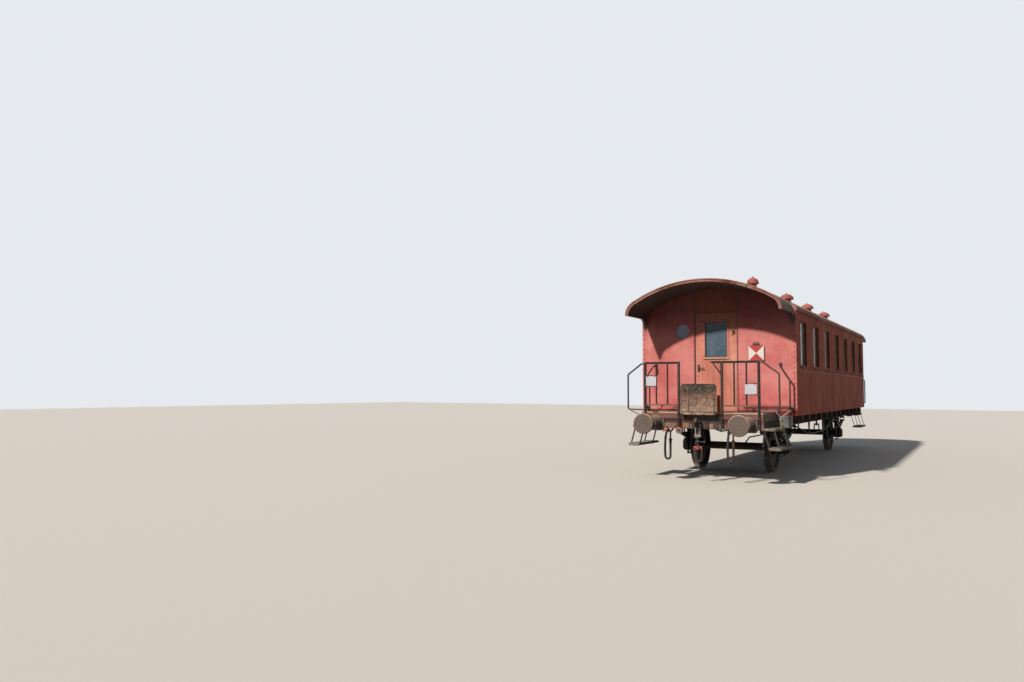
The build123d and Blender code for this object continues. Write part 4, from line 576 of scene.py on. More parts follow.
def rubber(tree):
    """Hose rubber: matt black with chalky bloom in patches of 60 mm and a cross weave, drawn 2.4 mm wide,
    coarser than it is, so that it shows."""
    place = add(tree, "TexCoord", out="Object")
    bloom = add(tree, "TexNoise", {"Vector": place, "Scale": 16.0, "Detail": 4.0})
    colour = add(tree, "Mix", {0: bloom, 6: linear("#141313"), 7: linear("#3A3736")}, **COLOUR)
    weave = add(tree, "TexNoise", {"Vector": place, "Scale": 420.0, "Detail": 1.0})
    bump = add(tree, "Bump", {"Strength": 0.3, "Distance": 0.001, "Height": weave})
    return {"Base Color": colour, "Normal": bump}


def pane(tint, dust_colour, dust, painted=()):
    """Dusty window glass: clear where it is clean, a thin diffuse film where dust has settled in clouds of
    300 mm, letting lamps through. Inside the painted boxes it is a disc of blue grey, a painted reflection of
    the sky."""

    def build(tree):
        place = add(tree, "TexCoord", out="Object")
        film = add(tree, "TexNoise", {"Vector": place, "Scale": 3.2, "Detail": 6.0, "Roughness": 0.6})
        share = add(tree, "MapRange", {"Value": film, "From Min": 0.3, "From Max": 0.75, "To Min": dust * 0.6,
                                       "To Max": min(1.0, dust * 1.4)})
        clean = add(tree, "BsdfPrincipled", {"Base Color": linear(tint), "Roughness": 0.03, "IOR": 1.3,
                                             "Transmission Weight": 1.0})
        film_colour = linear(dust_colour)
        if painted:
            disc = mask_of(tree, place, painted)
            share = add(tree, "Math", {0: share, 1: disc}, operation="MAXIMUM")
            # The disc's blue grey is a painted reflection of the sky
            enamel = add(tree, "Mix", {0: film, 6: linear("#93A2BE"), 7: linear("#B0BED4")}, **COLOUR)
            film_colour = add(tree, "Mix", {0: disc, 6: film_colour, 7: enamel}, **COLOUR)
        dusty = add(tree, "BsdfPrincipled", {"Base Color": film_colour, "Roughness": 0.5, "IOR": 1.4})
        glass = add(tree, "MixShader", {0: share, 1: clean, 2: dusty})
        shadow = add(tree, "LightPath", out="Is Shadow Ray")
        through = add(tree, "Math", {0: shadow, 1: 0.8}, operation="MULTIPLY")
        lit = add(tree, "BsdfTransparent", {"Color": linear(tint)})
        return add(tree, "MixShader", {0: through, 1: glass, 2: lit})

    return build


def quartered(tree):
    """Tail sign: a square cut by its diagonals, red above and below, white at the sides, its handle black,
    all under scuffs of 17 mm."""
    place = add(tree, "TexCoord", out="Object")
    centred = add(tree, "VectorMath", {0: place, 1: SIGN_CENTRE}, operation="SUBTRACT")
    size = add(tree, "VectorMath", {0: centred}, operation="ABSOLUTE")
    x, y, z = add(tree, "SeparateXYZ", {0: size}, out=None)
    steep = add(tree, "Math", {0: z, 1: x}, operation="GREATER_THAN")
    scuffs = add(tree, "TexNoise", {"Vector": place, "Scale": 60.0, "Detail": 6.0})
    worn = add(tree, "MapRange", {"Value": scuffs, "From Min": 0.5, "From Max": 0.8, "To Max": 0.4})
    colour = add(tree, "Mix", {0: steep, 6: linear("#EFECE6"), 7: linear("#BC453C")}, **COLOUR)
    handle = box_mask(tree, place, (0.6, -5, 2.5585), (1, -4, 2.7))
    colour = add(tree, "Mix", {0: handle, 6: colour, 7: linear("#1A1211")}, **COLOUR)
    colour = add(tree, "Mix", {0: worn, 6: colour, 7: linear("#8A7468")}, **COLOUR)
    return {"Base Color": colour}


GLOSS = "Specular IOR Level"
# Brown varnish on the walls' inner faces, and how far out it goes
LINING = ("#9C7444", "#B08A58")
LINING_X = INNER_X + 0.0005
LINING_Y = INNER_Y + 0.0005
END_LINING = (*LINING, (-2, -LINING_Y, 1.2), (2, LINING_Y, 4))
SIDE_LINING = (*LINING, (-LINING_X, -5, 1), (LINING_X, 5, 4))
# Enamel over riveted steel sheet, bleached pink by the sun: chalky, half matt, with painted shade coming in
# with height under the hood
end_panel = finish("enamel_end_panel", weathered(
    "#CC6E6C", "#E2918E", rust=0.18, wash=0.16, rough=0.55, ripple=0.2, hood_shade_colour="#54211F",
    zones=[("#BE6A58", "#DA8A76", (-0.42, -5, FLOOR_TOP), (0.42, 5, 4)),
           ("#6A2C28", "#7E3A34", (-2, -5, 1.0), (2, 5, 1.31)), END_LINING]), **{GLOSS: 0.2})
# Rivet heads where the enamel has rusted through
rusted_rivet = finish("rusted_rivet_head", weathered("#5A2A28", "#7C4440", rust=0.6, wash=0.2, rough=0.7))
# The same enamel on the long sides, painted darker and browner as shade
shaded_side_panel = finish("shaded_enamel_side_panel", weathered(
    "#A85240", "#B8664E", rust=0.3, wash=0.34, rough=0.72, ripple=0.3, zones=[SIDE_LINING]), **{GLOSS: 0.12})
# Orange brown door enamel with a dry, brushed look, and painted shade coming in with height under the hood
door_panel = finish("enamel_door_panel", weathered(
    "#CE8070", "#E6A08E", rust=0.25, wash=0.22, rough=0.6, ripple=0.15, hood_shade_colour="#6A2C1E",
    zones=[END_LINING]), **{GLOSS: 0.25})
# Roof sheet under chalked red lead: nearly matt, pink grey with darker runs, with painted shade where the
# hoods turn down
roof_sheet = finish("red_lead_roof_sheet", weathered(
    "#96645A", "#B98E84", rust=0.55, wash=0.45, corner_dirt_and_shade=0.4, rough=0.78, ripple=0.35,
    # Painted shade where the hoods turn down at their corners
    zones=[("#40302C", "#54403A", (side * 1.48 - 0.09, end * 5.28 - 0.49, 3.0),
            (side * 1.48 + 0.09, end * 5.28 + 0.49, 3.4)) for side in (-1, 1) for end in (-1, 1)]))
# Coral red lead on the roof ventilators
vent_coral = finish("coral_vent_enamel", weathered("#A04A42", "#B8685E", rust=0.4, rough=0.6))
# Castings on the headstock: cream and pink paint chipped down to rust
chipped_casting = finish("chipped_casting", weathered("#8E6E5C", "#B08C74", rust=0.6, wash=0.4, rough=0.8))
# Heating flange: chalked pink over iron
flange_pink = finish("chalked_flange_iron", weathered("#8E6A62", "#AC8C82", rust=0.4, wash=0.3, rough=0.7))
# Ceiling boards under the hoods, painted dark brown as shade: dull
shade_dark_soffit_board = finish("shade_dark_ceiling_board", boards("#3E2B25", "#2A1C18", Y, 0.11), Roughness=0.8)
# Black enamel on bar iron: satin, rust at the joints
black_bar = finish("black_bar_enamel", weathered("#131011", "#242020", rust=0.35, wash=0.15, dust=0.15))
# The same on the railings, with brown cheeks beside the gangway and beige low rails
CHEEKS = [("#C8603C", "#DC7A54", (x - 0.0385, -7, 1.2), (x + 0.0385, 7, 1.61)) for x in (-0.349, 0.349)]
LOW_RAILS = [("#6E5A4C", "#86705F", (x - 0.312, -7, 1.395), (x + 0.312, 7, 1.43)) for x in (-0.745, 0.745)]
rail_bar = finish("railing_bar_enamel", weathered(
    "#0F0B0C", "#211A1A", rust=0.3, wash=0.15, corner_dirt_and_shade=0.3, dust=0.15, zones=CHEEKS + LOW_RAILS), **{GLOSS: 0.3})
# Underframe paint under brake dust: brown black, dull
frame_iron = finish("underframe_paint", weathered(
    "#2B2321", "#453832", rust=0.5, wash=0.3, rough=0.75, ripple=0.1))
# Faded red on the headstocks, rust and lime along the lower edge, and painted shade: a dark patch in the
# middle and black bands under the platform's edge and under the fall plate
headstock_red = finish("headstock_enamel", weathered(
    "#6C4038", "#82564E", rust=0.5, wash=0.4, rough=0.6, ripple=0.35,
    zones=[("#7E5C50", "#9A7868", (-2, -7, 0.9), (2, 7, 1.07)),
           # Painted shade: a dark patch in the middle, and black bands under the platform's edge and the fall
           # plate
           ("#3A2B25", "#54423A", (-0.4, -7, 0.9), (0.4, 7, 1.1)),
           ("#1E1715", "#332724", (-1.06, -7, 1.09), (1.06, 7, 1.165)),
           ("#1E1715", "#2C2220", (-0.4, -7, 1.16), (0.4, 7, 1.3))]))
# Cream edge irons, chipped by boots
edge_cream = finish("cream_edge_enamel", weathered("#C0AE94", "#DCCDB6", rust=0.5, wash=0.3, rough=0.6))
scoured_buffer = finish("scoured_buffer_iron", buffer_iron)
# Forged hook: oily black iron with rust
forged_iron = finish("forged_iron", bare_iron("#2A2523", "#5A3A2C", cover=0.45, rough=0.42, shine=0.75))
# Screw coupling: forged iron, its upper half grey with zinc dust, its lower nut painted red
COUPLING_TOPS = [((-0.12, y - 0.1, 0.83), (0.12, y + 0.1, 1.2)) for y in (-COUPLING_Y, COUPLING_Y)]
COUPLING_NUTS = [((-0.12, y - 0.05, 0.6), (0.12, y + 0.05, 0.69)) for y in (-COUPLING_Y, COUPLING_Y)]
coupling_iron = finish("coupling_iron", parted(
    parted(bare_iron("#3C3836", "#4A3E38", cover=0.35, rough=0.55, shine=0.5),
           bare_iron("#8C8682", "#7C6C62", cover=0.25, rough=0.5, shine=0.45), COUPLING_TOPS),
    weathered("#A04A44", "#BC706A", rust=0.4), COUPLING_NUTS))
# Cast boxes and blocks: dull dark casting, oil stained
cast_iron = finish("cast_iron", bare_iron("#221E1C", "#43302A", cover=0.4, rough=0.62, shine=0.3))
wheel_iron = finish("rolled_wheel_steel", rolled_wheel)
# Turned axle: dark, with brown dust burnt on
axle_iron = finish("turned_axle_steel", bare_iron("#241F1D", "#3A2C26", cover=0.45, rough=0.6, shine=0.3))
# Bars worn by hands: dark paint with steel showing
hand_iron = finish("hand_rail_paint", weathered("#33282A", "#544242", rust=0.4, wash=0.2, rough=0.35))
# White lead on the V bars, chipped, with a yellow green tab at the foot
white_bar = finish("white_bar_paint", weathered(
    "#D8D6D0", "#EDECE8", rust=0.3, wash=0.3, zones=[("#98A03E", "#B4BA5C", (-2, -7, 0.9), (2, 7, 1.16))]))
flaked_plate = finish("flaking_plate", flaking)
# Larch deck boards, grey and split by weather; inside, walked brown
deck_board = finish("weathered_deck_board", boards("#8A8074", "#5A5048", X), Roughness=0.85)
floor_board = finish("saloon_floor_board", boards("#7A6048", "#4A382A", Y), Roughness=0.6)
# Grey step boards in black strap iron
STEP_BOARDS = [((side * x - 0.5, -7, z - 0.001), (side * x + 0.5, 7, z + 0.043))
               for side in (-1, 1) for x, z in ((1.6565, 0.973), (1.717, 0.626))]
step_board = finish("weathered_step_board", parted(
    weathered("#211B1B", "#372E2C", rust=0.5, wash=0.2), boards("#948C82", "#5E564E", Y, 0.095), STEP_BOARDS))
# Varnished ash slats, glossy and warm
bench_ash = finish("varnished_ash", boards("#B5803E", "#7A4E22", Y, 0.06), Roughness=0.35)
# Window bars: brown paint, thin at the edges
window_bar = finish("window_bar_paint", weathered("#3A2622", "#523832", rust=0.3, wash=0.2))
hose_rubber = finish("hose_rubber", rubber, Roughness=0.62)
# Pipe fittings: black iron, the left cock and the heating flange in faded red
RED_FITTINGS = [((-0.7, -6.3, 0.86), (-0.58, -5.88, 1.1)), ((0.58, 5.88, 0.86), (0.7, 6.3, 1.1)),
                ((-0.45, -6.3, 0.85), (-0.33, -5.86, 1.0)), ((0.33, 5.86, 0.85), (0.45, 6.3, 1.0))]
red_cock = finish("red_cock_enamel", parted(
    bare_iron("#231F1D", "#3C302B", cover=0.4, rough=0.55, shine=0.4),
    weathered("#A04A44", "#B8847C", rust=0.5, wash=0.3), RED_FITTINGS))
sign_face = finish("sign_enamel", quartered, Roughness=0.35)
# White enamel of the lamp bowls
blank_plate = finish("blank_plate_enamel", weathered("#D6D6DA", "#E6E6EA", rust=0.1, wash=0.15, rough=0.4))
# Blank plates of white enamel held by black clamps
MARKER_FACES = [((x - 0.1027, -5.845, z - 0.0952), (x + 0.1027, -5.83, z + 0.0952))
                for x, z in MARKER_CENTRES]
marker_plate = finish("marker_plate_enamel", parted(
    weathered("#211C1C", "#3A302E", rust=0.4),
    weathered("#C6CAD8", "#DADEEA", rust=0.08, wash=0.2, rough=0.4), MARKER_FACES))
# Dull zinc over steel plate, streaked by rain
grey_plate = finish("zinc_plate", weathered("#646163", "#7E7A7C", rust=0.35, wash=0.4))
# Ceiling enamel, yellowed cream
cream_lining = finish("cream_ceiling_enamel", weathered("#D8CFBC", "#E4DCCB", rust=0.05, wash=0.1))
# Side windows under brown dust, the portholes of the end walls given a flat blue grey disc as a painted
# reflection of the sky; clearer panes in the doors, their blue grey film both dust and a painted reflection
# of the sky
PORTHOLES = [((-2, -5, 0), (2, -4.7, 4)), ((-2, 4.7, 0), (2, 5, 4))]
side_glass = finish("dusty_side_glass_with_painted_sky", pane("#B8C0B8", "#8E6C5A", 0.34, PORTHOLES))
end_glass = finish("dusty_end_glass_with_painted_sky", pane("#C8D4DC", "#5E7286", 0.6))

NODES_IN = (
    (end_panel, "end_wall_near end_wall_far"),
    (shaded_side_panel, "side_wall_left side_wall_right"),
    (door_panel, "door_near door_far"),
    (roof_sheet, "roof roof_hoods"),
    (vent_coral, "roof_vents"),
    (black_bar, "hood_brackets door_handles_near door_handles_far"),
    (grey_plate, "corner_plates"),
    (frame_iron, "solebars cross_members body_brackets truss_rods axle_guards air_tanks"),
    (headstock_red, "headstocks"),
    (rail_bar, "railings"),
    (hand_iron, "grab_rails"),
    (white_bar, "step_hangers"),
    (flaked_plate, "fall_plate_near fall_plate_far"),
    (deck_board, "platform_floors"),
    (floor_board, "saloon_floor"),
    (step_board, "steps"),
    (bench_ash, "bench_seats bench_backs"),
    (window_bar, "window_frames"),
    (side_glass, "window_glass"),
    (end_glass, "door_glass_near door_glass_far"),
    (scoured_buffer, "buffer_heads buffer_housings"),
    (forged_iron, "draw_hooks hose_heads"),
    (coupling_iron, "couplings"),
    (wheel_iron, "wheels_near wheels_far"),
    (axle_iron, "axle_near axle_far"),
    (cast_iron, "axleboxes leaf_springs brake_gear"),
    (red_cock, "pipe_ends"),
    (sign_face, "tail_sign"),
    (marker_plate, "marker_plates"))
for material, names in NODES_IN:
    for name in names.split():
        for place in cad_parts[name].material_slots:
            place.material = material


# Hoses

# Each hose as (sideways, out, up) from its cock: down, round in a tight loop and back up to its rest
HOSE_ROUTE = np.array([
    (0, 0, 0), (0, 0.04, -0.062), (0, 0.056, -0.15), (-0.006, 0.058, -0.3), (-0.0017, 0.0551, -0.4025),
    (0, 0.054, -0.442), (0.028, 0.052, -0.47), (0.068, 0.05, -0.47), (0.096, 0.048, -0.442),
    (0.096, 0.0456, -0.4025), (0.096, 0.04, -0.31), (0.096, 0.04, -0.17)])
HOSE_DIAMETER = 0.042
HOSE_HEAD = [(0, 0), (0.0215, 0), (0.027, 0.005), (0.027, 0.026), (0.0225, 0.034), (0.0325, 0.048),
             (0.0335, 0.052), (0.0335, 0.068), (0.0325, 0.071), (0.023, 0.0795), (0, 0.0805)]


def hose_start(x):
    """Where a hose of the near end leaves its cock."""
    return np.array([x, -HEADSTOCK_Y - 0.084, FRAME_BOTTOM - 0.092])


def hose_head():
    """Coupling head standing upright: a turned profile with a flat horn pointing away from the coach."""
    return join([turned(HOSE_HEAD, 28), bars((-0.0095, -0.053, 0.05), (0.0095, 0, 0.075), Y)])


for side, x in HOSES:
    for end, turn in ENDS:
        points = hose_start(x) * (turn, turn, 1) + HOSE_ROUTE * (turn, -turn, 1)
        curve = bpy.data.curves.new(f"hose_{side}_{end}_rubber", "CURVE")
        curve.dimensions = "3D"
        spline = curve.splines.new("NURBS")
        spline.points.add(len(points) - 1)
        spline.points.foreach_set("co", np.column_stack([points, np.ones(len(points))]).ravel())
        spline.order_u = 3
        spline.use_endpoint_u = True
        curve.resolution_u = 10
        curve.bevel_depth = HOSE_DIAMETER / 2
        curve.bevel_resolution = 6
        curve.use_fill_caps = True
        curve.materials.append(hose_rubber)
        hose = bpy.data.objects.new(curve.name, curve)
        bpy.context.scene.collection.objects.link(hose)
        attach(hose, "coach")
        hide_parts(f"hose_{side}_{end}")
        head = piece(f"hose_{side}_{end}_head", placed(hose_head(), points[-1], (turn, turn, 1)), forged_iron)
        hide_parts("hose_heads")


# Walls

# Outer face of the near end wall
END_FACE = -END_WALL_Y
CORNER_TOP = 3.2
CORNER_RISE = np.arange(FLOOR_TOP + 0.05, 3.1, 0.1)
# How far a flat stands out of the sheet
FLAT_PROUD = 0.004


def end_rivets():
    """Rivets of an end wall: columns beside the doorway and at the corners, a row at the foot, an arc
    under the roof."""
    pitch = 0.095
    rise = np.arange(FLOOR_TOP + 0.06, 3.12, pitch)
    columns = [points_at(x, END_FACE, rise) for x in (0.452, 1.44)]
    foot = points_at(np.arange(0.55, 1.4, pitch), END_FACE, 1.31)
    arc = on_roof(np.arange(0.21, 0.56, pitch / 2.49), END_FACE, 0.11)
    return four_corners(copies(RIVET, np.concatenate([*columns, foot, arc]), TO_END))


def doorway_joint_strips():
    """Dark strips over the joints beside the doorway, from the floor up to the roof."""
    top = (0.436, END_FACE + 0.002, roof_z(0.428, 0.062))
    return four_corners(bars((0.42, END_FACE - 0.006, FLOOR_TOP), top, Z, 0.0015))


def window_beads():
    """Flat bead round each window opening: a small rounded section carried round a rounded rectangle."""
    wide, tall = WINDOW_SIZE
    corner, grow = 0.045, 0.006
    angle = around(64) + np.pi / 64
    c, s = np.cos(angle), np.sin(angle)
    y = np.sign(c) * (wide / 2 - corner) + (corner + grow) * c
    z = np.sign(s) * (tall / 2 - corner) + (corner + grow) * s
    section = box_section(0.022, 0.012, 0.002)
    return both_sides(join([sweep(points_at(BODY_HALF, centre + y, WINDOW_MID_Z + z), section, TO_SIDE, True)
                            for centre in WINDOW_YS]))


def body_corner_wings():
    """Side wings of the angle irons over the body's upright corners, with a column of rivets."""
    x, y = BODY_HALF, END_FACE
    wing = bars((x - 0.001, y, FRAME_TOP + 0.002), (x + FLAT_PROUD, y + 0.06, CORNER_TOP), Z, 0.0012)
    rivets = copies(RIVET, points_at(x + FLAT_PROUD, y + 0.034, CORNER_RISE), TO_SIDE)
    return four_corners(join([wing, rivets]))


def body_corner_fronts():
    """Front wings of the same angle irons, on the end walls."""
    x, y = BODY_HALF, END_FACE
    low, high = (x - 0.062, y - FLAT_PROUD, FRAME_TOP + 0.002), (x + FLAT_PROUD, y + 0.001, CORNER_TOP)
    return four_corners(bars(low, high, Z, 0.0012))


def corner_rivets():
    """Rusted rivets down the front wings, a tenth larger than the others."""
    places = points_at(BODY_HALF - 0.034, END_FACE - FLAT_PROUD, CORNER_RISE)
    return four_corners(copies(placed(RIVET, scale=1.1), places, TO_END))


def waist_shadow_strips():
    """Dark strip under the waist moulding: a painted shadow of the moulding."""
    x, y = BODY_HALF, END_WALL_Y
    return both_sides(bars((x - 0.002, -y, WAIST_Z - 0.032), (x + 0.0025, y, WAIST_Z - 0.0215), Y, 0.001))


def waist_cappings():
    """Narrow capping on the moulding: a flat with its top sloped outwards, carried along the side."""
    section = np.array([(0, 0.026), (0.017, 0.018), (0.017, 0.012), (0.0125, 0.0085), (0, 0.0085)])
    return both_sides(straight(section + (BODY_HALF, WAIST_Z), -END_WALL_Y, END_WALL_Y))


def side_joint_strips():
    """Cover strips over the sheet joints between the windows, each with rivets down both edges."""
    x = BODY_HALF
    patches = []
    for y in (WINDOW_YS[1:] + WINDOW_YS[:-1]) / 2:
        for z0, z1 in ((FRAME_TOP + 0.01, WAIST_Z - 0.034), (WAIST_Z + 0.028, 3.24)):
            patches.append(bars((x - 0.001, y - 0.025, z0), (x + 0.003, y + 0.025, z1), Z, 0.0012))
            rise = np.arange(z0 + 0.05, z1 - 0.02, 0.13)
            patches += [copies(RIVET, points_at(x + 0.003, v, rise), TO_SIDE) for v in (y - 0.013, y + 0.013)]
    return both_sides(join(patches))


def window_sills():
    """Sloped sill under each window, standing 18 mm out, with a drip edge."""
    half = WINDOW_SIZE[0] / 2 + 0.03
    section = np.array([(-0.012, 0.004), (0.018, -0.010), (0.018, -0.020), (0.012, -0.020), (0, -0.014),
                        (-0.012, -0.014)])
    section = section + (BODY_HALF, WINDOW_MID_Z - WINDOW_SIZE[1] / 2)
    return both_sides(join([straight(section, y - half, y + half) for y in WINDOW_YS]))


pieces((end_rivets, end_panel, "end_paint"),
       (doorway_joint_strips, window_bar, "window_frame_paint"),
       (window_beads, shaded_side_panel, "side_paint"),
       (body_corner_wings, shaded_side_panel, "side_paint"),
       (body_corner_fronts, end_panel, "end_paint"),
       (corner_rivets, rusted_rivet, "end_paint"),
       (waist_shadow_strips, window_bar, "window_frame_paint"),
       (waist_cappings, shaded_side_panel, "side_paint"),
       (side_joint_strips, shaded_side_panel, "side_paint"),
       (window_sills, shaded_side_panel, "side_paint"))


# Doors

# Outer face of the near door, and how far its trim sinks in
DOOR_FACE = -DOOR_Y
SUNK = DOOR_FACE + 0.001
PANE_LOW, PANE_HIGH = 2.353, 3.053
PANE_LEFT, PANE_RIGHT = -0.205, 0.209


def door_boards():
    """Upright boards of the door's lower panel: seven with broken edges, so that their joints show as
    grooves."""
    x = np.arange(7) * 0.112 - 0.392
    front, back = DOOR_FACE - 0.0042, DOOR_FACE + 0.0008
    return bars(points_at(x, front, 1.31), points_at(x + 0.1115, back, 2.27), Z, 0.0035)


def door_moulding():
    """Moulding round the door's window: two stiles and a head, their edges broken."""
    front, low, high, outer, inner = DOOR_FACE - 0.012, 2.33, 3.088, 0.256, 0.222
    stiles = bars([(-outer, front, low), (inner, front, low)],
                  [(-inner, SUNK, high), (outer, SUNK, high)], Z, 0.004)
    return join([stiles, bars((-outer, front, high - 0.034), (outer, SUNK, high), X, 0.004)])


def door_gasket():
    """Dark strip that beds the glass: four flats inside the opening."""
    front, back, outer = DOOR_FACE - 0.002, DOOR_FACE + 0.016, 0.2212
    upright = bars([(-outer, front, PANE_LOW), (PANE_RIGHT, front, PANE_LOW)],
                   [(PANE_LEFT, back, PANE_HIGH), (outer, back, PANE_HIGH)], Z)
    level = bars([(PANE_LEFT, front, PANE_HIGH - 0.016), (PANE_LEFT, front, PANE_LOW)],
                 [(PANE_RIGHT, back, PANE_HIGH + 0.0002), (PANE_RIGHT, back, PANE_LOW + 0.008)], X)
    return join([upright, level])


def door_fittings():
    """Latch with its knob near the top of the jamb side, two keyholes on the other, and stops over the
    window."""
    latch = bars((0.335, DOOR_FACE - 0.015, 2.79), (0.362, SUNK, 2.88), Z, 0.003)
    knob = turned([(0, 0), (0.009, 0), (0.008, 0.016), (0.015, 0.024), (0.015, 0.032), (0, 0.037)], 16)
    key = turned([(0, 0), (0.013, 0), (0.012, 0.004), (0.005, 0.005), (0, 0.003)], 20)
    stop = turned([(0, 0), (0.014, 0), (0.014, 0.006), (0.006, 0.014), (0, 0.015)], 12)
    spots = ((knob, [(0.348, DOOR_FACE - 0.014, 2.86)]),
             (key, points_at(-0.352, DOOR_FACE - 0.004, [1.975, 1.9])),
             (stop, [(-0.3, DOOR_FACE, 3.07), (0.33, DOOR_FACE, 3.12)]))
    return join([latch, *(copies(shape, places, TO_END) for shape, places in spots)])


def kick_plate():
    """Plate across the foot of the door."""
    return bars((-0.4, DOOR_FACE - 0.0055, 1.29), (0.4, DOOR_FACE + 0.0005, 1.4), X)


def door_sill():
    """Sill of the door's window, 24 mm proud."""
    return bars((-0.262, DOOR_FACE - 0.024, 2.316), (0.262, SUNK, 2.338), X)


for end, turn in ENDS:
    for name, patch, material, slot in (
            ("boards", door_boards(), door_panel, "door_paint"),
            ("window_moulding", door_moulding(), door_panel, "door_paint"),
            ("window_gasket", door_gasket(), window_bar, "window_frame_paint"),
            ("fittings", door_fittings(), black_bar, "handle_brass"),
            ("kick_plate", kick_plate(), door_panel, "door_paint"),
            ("window_sill", door_sill(), edge_cream, "fall_plate_steel")):
        piece(f"door_{end}_{name}", placed(patch, scale=(turn, turn, 1)), material, f"end_door_{end}")


# Roof

# Each ventilator's place across and along, and its radius
VENTS = [(VENT_X, -5.3, 0.105), (-VENT_X, 5.3, 0.105)] + [
    (x, y, 0.145) for x in (-VENT_X, VENT_X) for y in (-2.35, 0, 2.35)]
HOOD_CORNER = 0.3


def roof_sheet_seams():
    """Lapped seams of the roof sheets: a low flat carried over the roof's arc at every window's pitch."""
    angle = np.linspace(-0.635, 0.635, 49)[:, None]
    along, up = np.array([(-0.03, 0), (-0.028, 0.003), (0.028, 0.003), (0.03, 0), (0.03, -0.003),
                          (-0.03, -0.003)]).T
    points = on_roof(angle, along, -up)
    return join([loft(points + (0, y, 0)) for y in np.linspace(-END_WALL_Y + 0.02, END_WALL_Y - 0.02, 8)])


def eave_drip_rails():
    """Drip rail along each eave: an angle with its lip up."""
    x = at("roof", HIGH, X)
    section = np.array([(-0.004, -0.052), (0.022, -0.052), (0.022, -0.022), (0.018, -0.022), (0.018, -0.047),
                        (0, -0.047), (0, 0.004), (-0.004, 0.004)])
    section = section + (x, roof_z(x))
    return both_sides(straight(section, -END_WALL_Y - 0.01, END_WALL_Y + 0.01))


def hood_outline(depth):
    """Outline of a hood's section so deep under its skin: two corner arcs joined by the main arc, left to
    right."""
    centre_x = 1.2
    centre_z = roof_z(centre_x, HOOD_CORNER)
    lean = np.arctan2(centre_z - ROOF_CENTRE_Z, centre_x)
    corner = np.linspace(0, lean, 10)
    main = np.linspace(lean, np.pi - lean, 41)[1:-1]
    small, large = HOOD_CORNER - depth, ROOF_RADIUS - depth
    right = np.stack([centre_x + small * np.cos(corner), centre_z + small * np.sin(corner)], -1)
    middle_arc = np.stack([large * np.cos(main), ROOF_CENTRE_Z + large * np.sin(main)], -1)
    return np.concatenate([right, middle_arc, right[::-1] * (-1, 1)])[::-1]


def hood_shade_ceilings():
    """Ceiling boards under each hood, dark as painted shade: the hood's inner outline, 5 mm thick, carried
    along the platform.
    """
    ring = np.concatenate([hood_outline(0.0595), hood_outline(0.0645)[::-1]])
    return both_ends(straight(ring, -HEADSTOCK_Y + 0.012, -END_WALL_Y))


def hood_rims():
    """Rolled rim round each hood's mouth: a round section carried along the hood's outline."""
    x, z = hood_outline(0.012).T
    return both_ends(sweep(points_at(x, -HEADSTOCK_Y - 0.001, z), ring_section(0.0145, 10), (0, 1, 0)))


def hood_rim_rivets():
    """Rivets along the hood's mouth, 150 mm apart on the main arc, where the sheet is held to its angle
    iron."""
    return both_ends(copies(RIVET, on_roof(np.arange(-0.5, 0.51, 0.06), -HEADSTOCK_Y, 0.04), TO_END))


def vent_trim():
    """Rolled rim and top knob of each roof ventilator: two profiles turned about the ventilator's upright
    axis."""
    z = roof_z(VENT_X)
    knob = turned([(0, 0.166), (0.012, 0.167), (0.009, 0.176), (0.016, 0.183), (0.012, 0.191), (0, 0.193)],
                  16)
    patches = []
    for x, y, r in VENTS:
        rim = turned([(r - 0.006, 0.045), (r + 0.006, 0.047), (r + 0.008, 0.054), (r + 0.004, 0.061),
                      (r - 0.006, 0.061)], 40)
        patches.append(placed(join([rim, knob]), (x, y, z)))
    return join(patches)


def vent_flashings():
    """Flashing under each ventilator: a disc 3 mm thick bent to the roof's arc, with a ring of rivets."""
    turn, spots = around(40), around(12)
    rings = np.array([(0.5, 0), (1.3, 0), (1.29, 0.003), (0.5, 0.003)])
    patches = []
    for x, y, r in VENTS:
        px, py = x + r * rings[:, :1] * np.cos(turn), y + r * rings[:, :1] * np.sin(turn)
        patches.append(loft(points_at(px, py, roof_z(px, -rings[:, 1:]))))
        rx, ry = x + 1.18 * r * np.cos(spots), y + 1.18 * r * np.sin(spots)
        patches.append(copies(RIVET, points_at(rx, ry, roof_z(rx, -0.0025)), (x / ROOF_RADIUS, 0, 0.94)))
    return join(patches)


pieces((roof_sheet_seams, roof_sheet, "roof_paint"),
       (eave_drip_rails, roof_sheet, "roof_paint"),
       (hood_shade_ceilings, shade_dark_soffit_board, "deck_board"),
       (hood_rims, roof_sheet, "roof_paint"),
       (hood_rim_rivets, roof_sheet, "roof_paint"),
       (vent_trim, vent_coral, "roof_paint"),
       (vent_flashings, roof_sheet, "roof_paint"))


# Railings

# Front face of the near railing's bars, and the line that its chain hangs in
RAILING_FACE = -RAILING_Y
CHAIN_Y = RAILING_FACE - 0.018
RAILING_TOP = 2.213


def centre_post_holes():
    """Holes down the centre posts, 46 mm apart, shown as low grey discs."""
    disc = turned([(0, -0.001), (0.0095, -0.001), (0.0095, 0.0012), (0, 0.0012)], 16)
    rise = np.arange(1.31, 2.19, 0.046)
    places = [points_at(x, RAILING_FACE, rise) for x in (-0.41, 0.41)]
    return both_ends(copies(disc, np.concatenate(places), TO_END))


def railing_bolts():
    """Bolts of the railing's joints and of its posts' feet."""
    spots = [(x, RAILING_FACE, z) for x in (-1.08, -0.41, 0.41, 1.08) for z in (1.0, 1.06, 1.19)]
    spots += [(x, RAILING_FACE, RAILING_TOP) for x in (-1.08, -0.85, -0.64, -0.41, 0.41, 0.64, 0.85, 1.08)]
    return both_ends(copies(placed(BOLT, scale=0.6), spots, TO_END))


def gate_arm_knobs():
    """Knob on the tip of the gate arm, turned about an axis across the coach."""
    profile = [(0, 0), (0.008, 0), (0.008, 0.01), (0.016, 0.018), (0.018, 0.027), (0.012, 0.037), (0, 0.04)]
    return both_ends(copies(turned(profile, 16), (0.238, -5.814, RAILING_TOP), (-1, 0, 0)))


